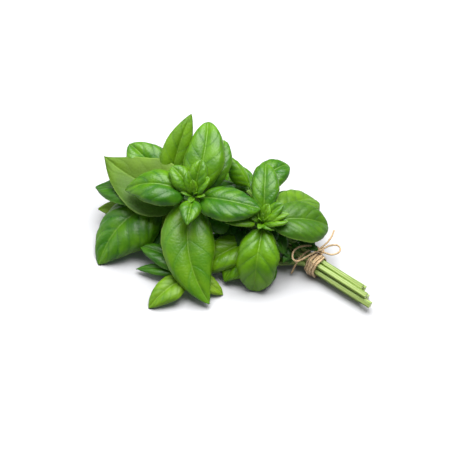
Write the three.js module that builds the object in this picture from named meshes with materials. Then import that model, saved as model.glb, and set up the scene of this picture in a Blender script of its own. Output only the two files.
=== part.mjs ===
// A bunch of sweet basil lying on a table, tied near the cut ends with jute twine.
// Millimetres, +Z up. +X runs along the stems towards their cut ends, and the
// origin is under the middle of the bunch, on the surface that it lies on.
import * as THREE from 'three';

// ---------------------------------------------------------------- driving dimensions

const GAP = 0.3; // clearance between pieces that touch
const STEM_RADIUS = 2.4; // at the cut end
const STEM_TIP_RADIUS = 1.3; // under the terminal bud
const STEM_SIDES = 8;
const STEM_STEPS = 14;
const CUT_DROP = 2.2; // how far the bundle sinks from the tie to the cut ends
const STRAIGHT = [12, 0, -8]; // where a stem runs straight through the tie, along +X from its middle

const TIE = new THREE.Vector3(63, 29, 9.3); // middle of the bundle where the twine holds it
const STEM_PITCH = 2 * STEM_RADIUS + GAP; // between neighbouring stems in the bundle
const ROW_PITCH = STEM_PITCH * Math.sqrt(3) / 2; // between the rows of a close-packed bundle

const BLADE_THICKNESS = 0.7;
const PETIOLE_THICKNESS = 1.5;
const BLADE_STATIONS = 9; // sections along a leaf
const BLADE_SPANS = 4; // facets across a leaf
const TIP_HALF_WIDTH = 0.5;
const BASE_ROUNDNESS = 0.62; // under 1 is a round base

const TWINE = 1.5; // diameter
const WRAP_TURNS = 7;
const VALLEY_SHARE = 0.6; // how far out the twine's turns meet, as a share of its diameter
const WRAP_SIDES = 20;
const CORD_SIDES = 8;
const CORD_STEP = 3.4; // length of one step along a free cord

// ---------------------------------------------------------------- materials

const finish = (color, roughness) => new THREE.MeshStandardMaterial({ color, roughness, metalness: 0 });

const LEAF_COLOURS = { upper: 0x4f8f26, young: 0x78ab3a, shaded: 0x3b7420 };
const STEM_COLOUR = 0xa9c46a;
const BUD_COLOUR = 0x8dba4c;
const TWINE_COLOUR = 0xa88560;
const LEAF_ROUGHNESS = 0.42;
const TWINE_ROUGHNESS = 0.95;

// ---------------------------------------------------------------- small helpers

const vec = ([x, y, z]) => new THREE.Vector3(x, y, z);
const radians = THREE.MathUtils.degToRad;

/** Unit vector that points along a heading (0 is +X, 90 is +Y) and a pitch above level. */
function direction(heading, pitch) {
  const level = Math.cos(radians(pitch));
  return new THREE.Vector3(
    level * Math.cos(radians(heading)),
    level * Math.sin(radians(heading)),
    Math.sin(radians(pitch)),
  );
}

/** A closed solid through rings of points that all turn the same way, with a fan at each end. */
function loft(rings) {
  const sides = rings[0].length;
  const first = rings[0].reduce((sum, p) => sum.add(p), new THREE.Vector3()).divideScalar(sides);
  const last = rings.at(-1).reduce((sum, p) => sum.add(p), new THREE.Vector3()).divideScalar(sides);
  const points = [...rings.flat(), first, last];
  const firstIndex = points.length - 2;
  const lastIndex = points.length - 1;
  const lastRing = (rings.length - 1) * sides;
  const faces = [];
  for (let j = 0; j < sides; j += 1) {
    const k = (j + 1) % sides;
    for (let row = 0; row < lastRing; row += sides) {
      faces.push(row + j, row + k, row + sides + k);
      faces.push(row + j, row + sides + k, row + sides + j);
    }
    faces.push(firstIndex, k, j);
    faces.push(lastIndex, lastRing + j, lastRing + k);
  }
  const geometry = new THREE.BufferGeometry().setFromPoints(points);
  geometry.setIndex(faces);
  geometry.computeVertexNormals();
  return geometry;
}

// ---------------------------------------------------------------- stems

/** Where a stem stands in the bundle: row 0 is the lowest, and column counts half pitches in +Y. */
function bundleSpot(row, column) {
  return new THREE.Vector3(0, column * STEM_PITCH / 2, (row - 1) * ROW_PITCH);
}

// Each stem runs from its cut end through the tie to its tip. "cut" is how far the cut end is
// from the tie, and "route" holds the points after the tie.
const STEMS = {
  a: { row: 2, column: -1, cut: 50, route: [[22, 20, 24], [-18, 13, 31], [-38, 4, 43], [-32, -6, 56]] },
  b: { row: 2, column: 1, cut: 43, route: [[36, 26, 24], [22, 23, 33], [20, 14, 43]] },
  c: { row: 1, column: 0, cut: 47, route: [[22, 16, 15], [-23, 7, 19], [-58, 3, 27], [-64, -4, 36]] },
  d: { row: 1, column: -2, cut: 56, route: [[38, 14, 6], [14, -12, 6], [-12, -44, 11]] },
  e: { row: 0, column: -1, cut: 45, route: [[40, 20, 5], [24, 13, 11], [13, 11, 22]] },
  f: { row: 1, column: 2, cut: 44, route: [[32, 36, 12], [6, 42, 18], [-15, 42, 32]] },
  g: { row: 0, column: 1, cut: 49, route: [[38, 36, 5], [10, 50, 6], [-20, 60, 12]] },
};

for (const stem of Object.values(STEMS)) {
  const inTie = TIE.clone().add(bundleSpot(stem.row, stem.column));
  const straight = [stem.cut, ...STRAIGHT].map((along) => (
    inTie.clone().add(new THREE.Vector3(along, 0, -CUT_DROP * along / stem.cut))
  ));
  stem.curve = new THREE.CatmullRomCurve3([...straight, ...stem.route.map(vec)], false, 'centripetal');
}

/** Radius of a stem at a share of the way from its cut end to its tip. */
const stemRadius = (share) => THREE.MathUtils.lerp(STEM_RADIUS, STEM_TIP_RADIUS, share);

/** A tapering stem. */
function stemGeometry(curve) {
  const frames = curve.computeFrenetFrames(STEM_STEPS, false);
  const rings = [];
  for (let i = 0; i <= STEM_STEPS; i += 1) {
    const share = i / STEM_STEPS;
    const centre = curve.getPointAt(share);
    const ring = [];
    for (let j = 0; j < STEM_SIDES; j += 1) {
      const angle = (j / STEM_SIDES) * 2 * Math.PI;
      const radius = stemRadius(share);
      ring.push(centre.clone()
        .addScaledVector(frames.normals[i], radius * Math.cos(angle))
        .addScaledVector(frames.binormals[i], radius * Math.sin(angle)));
    }
    rings.push(ring);
  }
  return loft(rings);
}

// ---------------------------------------------------------------- leaves

// The leaves of each stem. "node" is where a leaf grows, as the share of the way from the cut end
// to the tip. The chord from its base to its tip has a heading, a pitch and a length. "arch" lifts
// the midrib over that chord and "sweep" bends it sideways. "roll" tips the whole blade about the
// chord. "fold" raises both halves from the midrib, "cup" curls them down again to the margins,
// and "point" is how sharp the tip is. Angles are in degrees.
const LEAF_DEFAULTS = {
  petiole: 3, arch: 6, sweep: 0, roll: 0, fold: 22, cup: 48, point: 0.8, tone: 'upper',
};

const LEAVES = {
  a: {
    back: {
      node: 0.95, heading: 116, pitch: 29, length: 59, width: 33,
      arch: 7, sweep: 3, point: 0.55,
    },
    front: {
      node: 0.95, heading: -42, pitch: -31, length: 84, width: 43,
      arch: 5, sweep: 11, point: 0.78, tone: 'young',
    },
    left: { node: 0.975, heading: -151, pitch: -3, length: 53, width: 37, arch: 13 },
    right: { node: 0.975, heading: 22, pitch: 2, length: 52, width: 38, arch: 5, sweep: 2 },
    small_front: { node: 1, heading: -61, pitch: 3, length: 28, width: 16, arch: 4, tone: 'young' },
    small_back: { node: 1, heading: 172, pitch: 32, length: 27, width: 20, arch: 3, point: 0.5 },
    side: { node: 0.93, heading: 88, pitch: 25, length: 33, width: 17, arch: 4, point: 0.55 },
    low_left: {
      node: 0.9, petiole: 8, heading: -167, pitch: 7, length: 82, width: 49,
      arch: 3, sweep: -8, roll: -24, fold: 15, cup: -8, point: 1.05, tone: 'young',
    },
    low_right: {
      node: 0.88, petiole: 6, heading: 78, pitch: -20, length: 40, width: 26,
      arch: 2, tone: 'shaded',
    },
    low_back: {
      node: 0.86, petiole: 6, heading: 106, pitch: 28, length: 50, width: 26,
      arch: 5, point: 0.5,
    },
    shade: {
      node: 0.68, petiole: 5, heading: -135, pitch: 10, length: 36, width: 28,
      arch: 5, roll: -12, tone: 'shaded',
    },
  },
  b: {
    front: {
      node: 0.97, heading: -63, pitch: -47, length: 52, width: 37,
      arch: 12, cup: 58, point: 0.45,
    },
    back: { node: 0.97, heading: 125, pitch: 25, length: 47, width: 23, arch: 7, point: 0.5 },
    right: { node: 0.985, heading: 49, pitch: -16, length: 53, width: 43, arch: 7, point: 0.45 },
    right_back: {
      node: 0.88, petiole: 6, heading: 84, pitch: -18, length: 58, width: 37,
      arch: 8, point: 0.55,
    },
    small_right: { node: 1, heading: 37, pitch: 27, length: 22, width: 12, arch: 3, tone: 'young' },
    small_left: {
      node: 1, heading: -133, pitch: 12, length: 28, width: 12,
      arch: 3, tone: 'young',
    },
    low: { node: 0.62, heading: 60, pitch: 5, length: 17, width: 9, arch: 2, tone: 'shaded' },
    low_front: { node: 0.8, heading: -30, pitch: -20, length: 26, width: 17, arch: 3, tone: 'shaded' },
    shade: {
      node: 0.9, petiole: 5, heading: -172, pitch: 2, length: 34, width: 26,
      arch: 3, tone: 'shaded',
    },
    low_right: {
      node: 0.68, heading: 8, pitch: -25, length: 14, width: 9,
      arch: 2, tone: 'shaded',
    },
  },
  c: {
    front: {
      node: 0.94, petiole: 8, heading: -104, pitch: -19, length: 80, width: 53,
      arch: 12, sweep: 8, cup: 72, point: 0.7,
    },
    back: {
      node: 0.98, heading: 104, pitch: 48, length: 66, width: 26,
      arch: 3, roll: 25, sweep: -3,
    },
    back_left: {
      node: 0.92, petiole: 8, heading: 180, pitch: 30, length: 60, width: 38,
      arch: 6, roll: -15, point: 0.55,
    },
    low_left: {
      node: 0.93, petiole: 10, heading: -152, pitch: 3, length: 67, width: 41,
      arch: 8, sweep: -5, roll: 14, tone: 'shaded',
    },
    low_front: {
      node: 0.8, petiole: 8, heading: -154, pitch: -7, length: 87, width: 34,
      arch: 8, tone: 'young',
    },
    low_back: {
      node: 0.87, petiole: 8, heading: 113, pitch: -11, length: 66, width: 36,
      arch: 12, tone: 'shaded',
    },
    low_back_left: {
      node: 0.8, petiole: 8, heading: 149, pitch: -15, length: 72, width: 34,
      arch: 9,
    },
  },
  d: {
    left: { node: 0.97, heading: -152, pitch: -6, length: 44, width: 14, arch: 3, tone: 'shaded' },
    front: { node: 0.99, heading: -103, pitch: -13, length: 39, width: 24, arch: 5, tone: 'young' },
    right: { node: 0.96, heading: 12, pitch: -18, length: 28, width: 18, arch: 3, tone: 'young' },
    back: {
      node: 0.94, petiole: 6, heading: -166, pitch: 7, length: 50, width: 24,
      arch: 4, tone: 'shaded',
    },
  },
  e: {
    left: { node: 0.99, heading: -116, pitch: -14, length: 42, width: 36, arch: 6, roll: -12 },
    front: { node: 0.95, petiole: 5, heading: -93, pitch: -20, length: 38, width: 27, arch: 5 },
    low: {
      node: 0.8, petiole: 5, heading: -60, pitch: -13, length: 28, width: 18,
      arch: 4, tone: 'shaded',
    },
  },
  f: {
    ridge: { node: 0.99, heading: 170, pitch: 35, length: 34, width: 17, arch: 5, fold: -35, cup: 25 },
    back: {
      node: 0.97, heading: 76, pitch: 14, length: 38, width: 29,
      arch: 7, point: 0.5, tone: 'young',
    },
    left: { node: 0.93, petiole: 6, heading: 152, pitch: -15, length: 46, width: 25, arch: 5 },
    low: {
      node: 0.88, petiole: 5, heading: 122, pitch: -20, length: 34, width: 26,
      arch: 7, tone: 'shaded',
    },
    right: {
      node: 0.83, petiole: 5, heading: 18, pitch: 0, length: 34, width: 20,
      arch: 5, tone: 'shaded',
    },
  },
  g: {
    left: { node: 1, heading: 168, pitch: -11, length: 48, width: 25, arch: 8 },
    right: { node: 0.9, heading: 38, pitch: -10, length: 34, width: 24, arch: 7 },
    back: { node: 0.8, petiole: 5, heading: 106, pitch: -7, length: 27, width: 20, arch: 5 },
    low: { node: 0.62, heading: 60, pitch: 10, length: 20, width: 10, arch: 3, tone: 'shaded' },
  },
};

/** Half the width of a blade at a share of its length. A sharp tip moves the widest place down. */
function halfWidth(share, width, point) {
  const widest = BASE_ROUNDNESS / (BASE_ROUNDNESS + point);
  const shape = (s) => (s ** BASE_ROUNDNESS) * ((1 - s) ** point);
  return (width / 2) * shape(share) / shape(widest);
}

/** The midrib of a leaf as a curve, with the side vector of its base. */
function leafSpine(leaf) {
  const along = direction(leaf.heading, leaf.pitch);
  const tangent = leaf.curve.getTangentAt(leaf.node);
  const outward = along.clone().addScaledVector(tangent, -along.dot(tangent)).normalize();
  const clear = stemRadius(leaf.node) + PETIOLE_THICKNESS / 2 + GAP;
  const base = leaf.curve.getPointAt(leaf.node).addScaledVector(outward, clear);
  const tip = base.clone().addScaledVector(along, leaf.length);
  const side = along.clone().cross(new THREE.Vector3(0, 0, 1)).normalize();
  side.applyAxisAngle(along, radians(leaf.roll));
  const up = side.clone().cross(along);
  const shoulder = base.clone().lerp(tip, 0.5)
    .addScaledVector(up, 2 * leaf.arch)
    .addScaledVector(side, 2 * leaf.sweep);
  return { spine: new THREE.QuadraticBezierCurve3(base, shoulder, tip), side };
}

/** A thin closed leaf: a petiole that widens into a blade folded at its midrib. */
function leafGeometry(leaf) {
  const { spine, side } = leafSpine(leaf);
  const fold = radians(leaf.fold);
  const cup = radians(leaf.cup);
  const rings = [];
  for (let i = 0; i <= BLADE_STATIONS; i += 1) {
    const share = i / BLADE_STATIONS;
    const centre = spine.getPoint(share);
    const tangent = spine.getTangent(share);
    const across = side.clone().addScaledVector(tangent, -side.dot(tangent)).normalize();
    const above = across.clone().cross(tangent);
    const inBlade = Math.max(0, (share * leaf.length - leaf.petiole) / (leaf.length - leaf.petiole));
    const blade = halfWidth(inBlade, leaf.width, leaf.point);
    const half = Math.max(blade, i === BLADE_STATIONS ? TIP_HALF_WIDTH : PETIOLE_THICKNESS / 2);
    const thickness = i === 0 ? PETIOLE_THICKNESS : BLADE_THICKNESS;
    const top = [];
    const bottom = [];
    for (let j = 0; j <= BLADE_SPANS; j += 1) {
      const span = 2 * j / BLADE_SPANS - 1;
      const reach = Math.abs(span);
      const x = Math.sign(span) * (half / cup) * (Math.sin(fold) - Math.sin(fold - cup * reach));
      const z = (half / cup) * (Math.cos(fold - cup * reach) - Math.cos(fold));
      const middle = centre.clone().addScaledVector(across, x).addScaledVector(above, z);
      top.push(middle.clone().addScaledVector(above, thickness / 2));
      bottom.unshift(middle.clone().addScaledVector(above, -thickness / 2));
    }
    rings.push([...top, ...bottom]);
  }
  return loft(rings);
}

// ---------------------------------------------------------------- buds

const BUDS = ['a', 'b']; // the stems whose tip is a bud

/** A terminal bud: a small teardrop that sits on the tip of a stem. */
function budGeometry(curve) {
  const profile = [[0, 0], [1.1, 0.4], [1.7, 1.6], [1.5, 3.2], [0.8, 4.8], [0, 6]];
  const geometry = new THREE.LatheGeometry(profile.map(([r, h]) => new THREE.Vector2(r, h)), STEM_SIDES);
  const tangent = curve.getTangentAt(1);
  const turn = new THREE.Quaternion().setFromUnitVectors(new THREE.Vector3(0, 1, 0), tangent);
  geometry.applyQuaternion(turn);
  const seat = curve.getPointAt(1).addScaledVector(tangent, GAP);
  return geometry.translate(seat.x, seat.y, seat.z);
}

// ---------------------------------------------------------------- twine

/** The turns around the bundle, as one ring with a bump for each turn. */
function wrapGeometry() {
  const inner = STEM_PITCH + STEM_RADIUS + GAP;
  const valley = inner + TWINE * VALLEY_SHARE;
  const halfLength = WRAP_TURNS * TWINE / 2;
  const profile = [[inner, halfLength], [inner, -halfLength], [valley, -halfLength]];
  for (let turn = 0; turn < WRAP_TURNS; turn += 1) {
    const start = turn * TWINE - halfLength;
    profile.push([inner + TWINE, start + TWINE / 2], [valley, start + TWINE]);
  }
  profile.push([inner, halfLength]);
  return new THREE.LatheGeometry(profile.map(([r, h]) => new THREE.Vector2(r, h)), WRAP_SIDES)
    .rotateZ(-Math.PI / 2)
    .translate(TIE.x, TIE.y, TIE.z);
}

// The bow. Two free lengths leave the knot as loops and end as tails. Their routes start and
// end beside the knot.
const KNOT = { centre: [62, 35.5, 20], size: [8.4, 6.4, 4.6] };

const BOW = {
  loop_right: [
    [64, 40, 20.4], [65, 44, 19.6], [66.7, 47.7, 18.4], [69, 50.4, 17.2], [72, 50.2, 16.2],
    [73.4, 47.3, 15.6], [72.5, 43, 16.2], [70.4, 39.4, 17.2], [67.4, 37.4, 18.4],
  ],
  tail_left: [
    [56.9, 32.4, 20.2], [54.9, 28.4, 20.4], [53.5, 24.4, 19],
    [52.1, 20.4, 15], [51.1, 17.4, 9], [50.7, 14, 3],
  ],
  loop_left: [
    [57, 35, 21.6], [52.8, 31, 23.4], [49.5, 25.5, 25], [48.6, 19.6, 25.6], [49.6, 15.4, 24.4],
    [52, 13.6, 22.2], [54.6, 15.4, 20.6], [56.6, 20, 20.4], [58.4, 26, 20.6], [59.6, 30.4, 20.2],
  ],
  tail_up: [
    [62.8, 40.6, 22.4], [63.5, 44, 23.4], [63.6, 48, 24.6], [63, 51.4, 25.8], [62, 55, 27],
  ],
};

/** A length of twine along a route. */
function cordGeometry(route) {
  const curve = new THREE.CatmullRomCurve3(route.map(vec), false, 'centripetal');
  const section = new THREE.Shape();
  section.absarc(0, 0, TWINE / 2, 0, 2 * Math.PI, false);
  return new THREE.ExtrudeGeometry(section, {
    curveSegments: CORD_SIDES / 2,
    steps: Math.round(curve.getLength() / CORD_STEP),
    bevelEnabled: false,
    extrudePath: curve,
  });
}

/** The knot on top of the turns. */
function knotGeometry() {
  return new THREE.IcosahedronGeometry(0.5, 1)
    .scale(...KNOT.size)
    .translate(...KNOT.centre);
}

// ---------------------------------------------------------------- assembly

const bunch = new THREE.Group();

function add(name, geometry, material) {
  const mesh = new THREE.Mesh(geometry, material);
  mesh.name = name;
  bunch.add(mesh);
}

for (const [name, stem] of Object.entries(STEMS)) {
  add(`stem_${name}`, stemGeometry(stem.curve), finish(STEM_COLOUR, LEAF_ROUGHNESS));
}
for (const name of BUDS) {
  add(`bud_${name}`, budGeometry(STEMS[name].curve), finish(BUD_COLOUR, LEAF_ROUGHNESS));
}
for (const [stem, leaves] of Object.entries(LEAVES)) {
  for (const [place, given] of Object.entries(leaves)) {
    const leaf = { ...LEAF_DEFAULTS, ...given, curve: STEMS[stem].curve };
    add(`leaf_${stem}_${place}`, leafGeometry(leaf), finish(LEAF_COLOURS[leaf.tone], LEAF_ROUGHNESS));
  }
}
add('twine_wrap', wrapGeometry(), finish(TWINE_COLOUR, TWINE_ROUGHNESS));
add('twine_knot', knotGeometry(), finish(TWINE_COLOUR, TWINE_ROUGHNESS));
for (const [name, route] of Object.entries(BOW)) {
  add(`twine_${name}`, cordGeometry(route), finish(TWINE_COLOUR, TWINE_ROUGHNESS));
}

export default bunch;
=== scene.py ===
"""A bunch of sweet basil tied with jute twine, as seven sprigs, a twine tie and a studio."""

import logging
import math
from dataclasses import dataclass, field
from enum import Enum
from typing import Any

import bpy
import numpy as np
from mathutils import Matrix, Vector


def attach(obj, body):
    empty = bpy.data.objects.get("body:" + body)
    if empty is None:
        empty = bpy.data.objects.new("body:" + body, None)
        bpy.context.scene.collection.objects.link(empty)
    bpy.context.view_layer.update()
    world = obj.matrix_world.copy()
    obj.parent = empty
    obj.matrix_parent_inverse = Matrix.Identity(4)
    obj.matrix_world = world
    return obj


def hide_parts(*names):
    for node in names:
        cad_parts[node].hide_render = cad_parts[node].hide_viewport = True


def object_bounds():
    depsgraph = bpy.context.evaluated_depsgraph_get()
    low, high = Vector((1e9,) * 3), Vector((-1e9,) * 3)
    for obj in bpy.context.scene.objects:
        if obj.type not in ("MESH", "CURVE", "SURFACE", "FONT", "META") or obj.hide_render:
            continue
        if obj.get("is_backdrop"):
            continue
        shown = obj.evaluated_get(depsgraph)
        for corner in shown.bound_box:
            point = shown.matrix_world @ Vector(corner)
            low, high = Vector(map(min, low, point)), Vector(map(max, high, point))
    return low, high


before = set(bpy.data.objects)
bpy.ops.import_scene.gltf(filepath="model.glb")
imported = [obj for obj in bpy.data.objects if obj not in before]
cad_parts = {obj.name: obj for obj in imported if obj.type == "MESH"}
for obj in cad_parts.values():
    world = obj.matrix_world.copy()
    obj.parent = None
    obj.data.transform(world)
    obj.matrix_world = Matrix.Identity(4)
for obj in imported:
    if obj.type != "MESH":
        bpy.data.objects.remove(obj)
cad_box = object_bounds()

MM = 0.001
BODY = "root"
FULL_TURN = 2 * math.pi
ALONG = np.array([1.0, 0.0, 0.0])  # from the leaves to the cut ends
ACROSS = np.array([0.0, 1.0, 0.0])
UP = np.array([0.0, 0.0, 1.0])
FLOOR_GAP = 0.05  # how far above the floor the lowest skin stays, in millimetres

Colour = tuple[float, float, float, float]
Point = tuple[float, float, float]
Triple = tuple[float, float, float]  # three weights, counts or sizes
Pair = tuple[float, float]  # two numbers that belong together, such as both ends of a range

log = logging.getLogger("basil")


# ------------------------------------------------------------------ small maths


def srgb(red: int, green: int, blue: int) -> Colour:
    """Turn a screen colour into the linear one that a shader works with.

    Args:
        red: Red from 0 to 255.
        green: Green from 0 to 255.
        blue: Blue from 0 to 255.

    Returns:
        The linear colour with a full alpha.
    """
    parts = (c / 255 for c in (red, green, blue))
    linear = [c / 12.92 if c <= 0.04045 else ((c + 0.055) / 1.055) ** 2.4 for c in parts]
    return (linear[0], linear[1], linear[2], 1.0)


def unit(vectors: np.ndarray) -> np.ndarray:
    """Scale one vector, or each row of several, to a length of one."""
    return vectors / np.maximum(np.linalg.norm(vectors, axis=-1, keepdims=True), 1e-12)


def smooth(values: np.ndarray | float, low: float, high: float) -> np.ndarray:
    """Ease from 0 at low to 1 at high.

    Args:
        values: Where to work the step out.
        low: Where the step starts.
        high: Where the step is complete, which may lie under low.

    Returns:
        The step's height at each value.
    """
    share = np.clip((values - low) / (high - low), 0, 1)
    return share * share * (3 - 2 * share)


def ridge(distance: np.ndarray, width: float | np.ndarray) -> np.ndarray:
    """Shape a soft ridge that is 1 high on its line and fades over a width."""
    return np.exp(-((distance / width) ** 2))


def paired(first: np.ndarray, second: np.ndarray | float) -> np.ndarray:
    """Put two grids side by side as the pairs of a map."""
    return np.stack(np.broadcast_arrays(first, second), -1)


def towards(heading: float, pitch: float) -> np.ndarray:
    """Point along a heading and a pitch.

    Args:
        heading: Degrees from +X towards +Y.
        pitch: Degrees above level.

    Returns:
        The unit vector.
    """
    turn, rise = math.radians(heading), math.radians(pitch)
    level = math.cos(rise)
    return np.array([level * math.cos(turn), level * math.sin(turn), math.sin(rise)])


def turned(vector: np.ndarray, axis: np.ndarray, degrees: float) -> np.ndarray:
    """Turn a vector about an axis.

    Args:
        vector: The vector to turn.
        axis: The unit axis.
        degrees: How far, by the right-hand rule.

    Returns:
        The turned vector.
    """
    angle = math.radians(degrees)
    along = axis * float(vector @ axis) * (1 - math.cos(angle))
    return vector * math.cos(angle) + np.cross(axis, vector) * math.sin(angle) + along


def seed_of(name: str) -> int:
    """Give each name a fixed seed of its own."""
    return sum((place + 1) * ord(letter) for place, letter in enumerate(name))


def carried(line: np.ndarray) -> tuple[np.ndarray, np.ndarray, np.ndarray]:
    """Carry a frame along a line without twist.

    Args:
        line: The points of the line, one a row.

    Returns:
        The tangents, normals and binormals, one a row each.
    """
    upright = 0.2  # under this, the line starts too steeply for a level normal
    tangents = unit(np.gradient(line, axis=0))
    start = np.cross(tangents[0], UP)
    if np.linalg.norm(start) < upright:
        start = np.cross(tangents[0], ACROSS)
    normal = unit(start)
    normals = []
    for tangent in tangents:
        normal = unit(normal - tangent * float(normal @ tangent))
        normals.append(normal)
    sideways = np.array(normals)
    return tangents, sideways, np.cross(tangents, sideways)


def swept(
    line: np.ndarray, radii: np.ndarray, angles: np.ndarray
) -> tuple[np.ndarray, np.ndarray]:
    """Sweep a section along a line.

    Args:
        line: The points of the line, one a row.
        radii: How far the section reaches at each point and angle.
        angles: The angles round the line, of which the last repeats the first.

    Returns:
        The rings of points without the repeated ones, and the tangents of the line.
    """
    tangents, normals, binormals = carried(line)
    rings = (
        line[:, None]
        + normals[:, None] * (radii * np.cos(angles))[..., None]
        + binormals[:, None] * (radii * np.sin(angles))[..., None]
    )
    return rings[:, :-1], tangents


class Route:
    """A smooth centripetal line through points, which is measured by its length."""

    SAMPLES = 80
    HEADING_STEP = 0.002

    def __init__(self, points: list[Point] | np.ndarray) -> None:
        """Draw the line.

        Args:
            points: The points that the line runs through, in millimetres.
        """
        self.line = self._drawn(np.array(points, float))
        steps = np.linalg.norm(np.diff(self.line, axis=0), axis=1)
        self.along = np.concatenate([[0.0], np.cumsum(steps)])
        self.length = float(self.along[-1])

    def _drawn(self, points: np.ndarray) -> np.ndarray:
        """Join the points with one curve.

        Args:
            points: The points, one a row.

        Returns:
            Close points along the curve.
        """
        ends = 2 * points[0] - points[1], 2 * points[-1] - points[-2]
        full = np.vstack([ends[0], points, ends[1]])
        share = np.linspace(0, 1, self.SAMPLES, endpoint=False)[:, None]
        square, cube = share**2, share**3
        pieces = []
        for before, start, end, after in zip(full, full[1:], full[2:], full[3:]):
            gaps = [
                max(float(np.linalg.norm(b - a)) ** 0.5, 1e-6)
                for a, b in ((before, start), (start, end), (end, after))
            ]
            leave = (start - before) / gaps[0] - (end - before) / (gaps[0] + gaps[1])
            leave = (leave + (end - start) / gaps[1]) * gaps[1]
            arrive = (end - start) / gaps[1] - (after - start) / (gaps[1] + gaps[2])
            arrive = (arrive + (after - end) / gaps[2]) * gaps[1]
            pieces.append(
                start * (2 * cube - 3 * square + 1)
                + leave * (cube - 2 * square + share)
                + end * (3 * square - 2 * cube)
                + arrive * (cube - square)
            )
        return np.vstack([*pieces, points[-1:]])

    def at(self, share: float | np.ndarray) -> np.ndarray:
        """Find the point at a share of the length.

        Args:
            share: From 0 at the start to 1 at the end, one or several.

        Returns:
            The point, or one a row.
        """
        place = np.asarray(share) * self.length
        return np.stack([np.interp(place, self.along, self.line[:, k]) for k in range(3)], -1)

    def heading(self, share: float) -> np.ndarray:
        """Find the way in which the line runs at a share of its length."""
        low, high = max(share - self.HEADING_STEP, 0.0), min(share + self.HEADING_STEP, 1.0)
        return unit(self.at(high) - self.at(low))

    def spaced(self, step: float) -> np.ndarray:
        """Give points along the line that are about a step apart."""
        return self.at(np.linspace(0, 1, max(2, round(self.length / step) + 1)))


# ------------------------------------------------------------------ shaders


class Value:
    """What a shader socket gives, wrapped so that plain arithmetic adds Math nodes."""

    def __init__(self, shader: "Shader", socket: bpy.types.NodeSocket | None) -> None:
        """Wrap a socket of a shader, or nothing where a node has no output."""
        self.shader = shader
        self.socket = socket

    def _math(self, operation: str, first: Any, second: Any = 0.0) -> "Value":
        """Add one Math node.

        Args:
            operation: The node's operation.
            first: The value or number of its first socket.
            second: The value or number of its second socket.

        Returns:
            What the node gives.
        """
        return self.shader.node("ShaderNodeMath", {"operation": operation}, {0: first, 1: second})

    def __add__(self, other: Any) -> "Value":
        """Add."""
        return self._math("ADD", self, other)

    def __radd__(self, other: Any) -> "Value":
        """Add to a number."""
        return self._math("ADD", other, self)

    def __sub__(self, other: Any) -> "Value":
        """Subtract."""
        return self._math("SUBTRACT", self, other)

    def __rsub__(self, other: Any) -> "Value":
        """Subtract from a number."""
        return self._math("SUBTRACT", other, self)

    def __mul__(self, other: Any) -> "Value":
        """Multiply."""
        return self._math("MULTIPLY", self, other)

    def __rmul__(self, other: Any) -> "Value":
        """Multiply a number."""
        return self._math("MULTIPLY", other, self)

    def __pow__(self, other: Any) -> "Value":
        """Raise to a power."""
        return self._math("POWER", self, other)

    def __rpow__(self, other: Any) -> "Value":
        """Raise a number to this power."""
        return self._math("POWER", other, self)

    def __abs__(self) -> "Value":
        """Drop the sign."""
        return self._math("ABSOLUTE", self)

    def pingpong(self, scale: float) -> "Value":
        """Fold the value back and forth between 0 and a scale."""
        return self._math("PINGPONG", self, scale)

    def step(self, low: float, high: float) -> "Value":
        """Ease the value into a mask.

        Args:
            low: The value at which the mask is 0.
            high: The value at which the mask is 1, which may lie under low.

        Returns:
            The mask.
        """
        ends = {1: min(low, high), 2: max(low, high)}
        outputs = {3: 1.0, 4: 0.0} if high < low else {3: 0.0, 4: 1.0}
        settings = {"interpolation_type": "SMOOTHSTEP"}
        return self.shader.node("ShaderNodeMapRange", settings, {0: self, **ends, **outputs})


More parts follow.
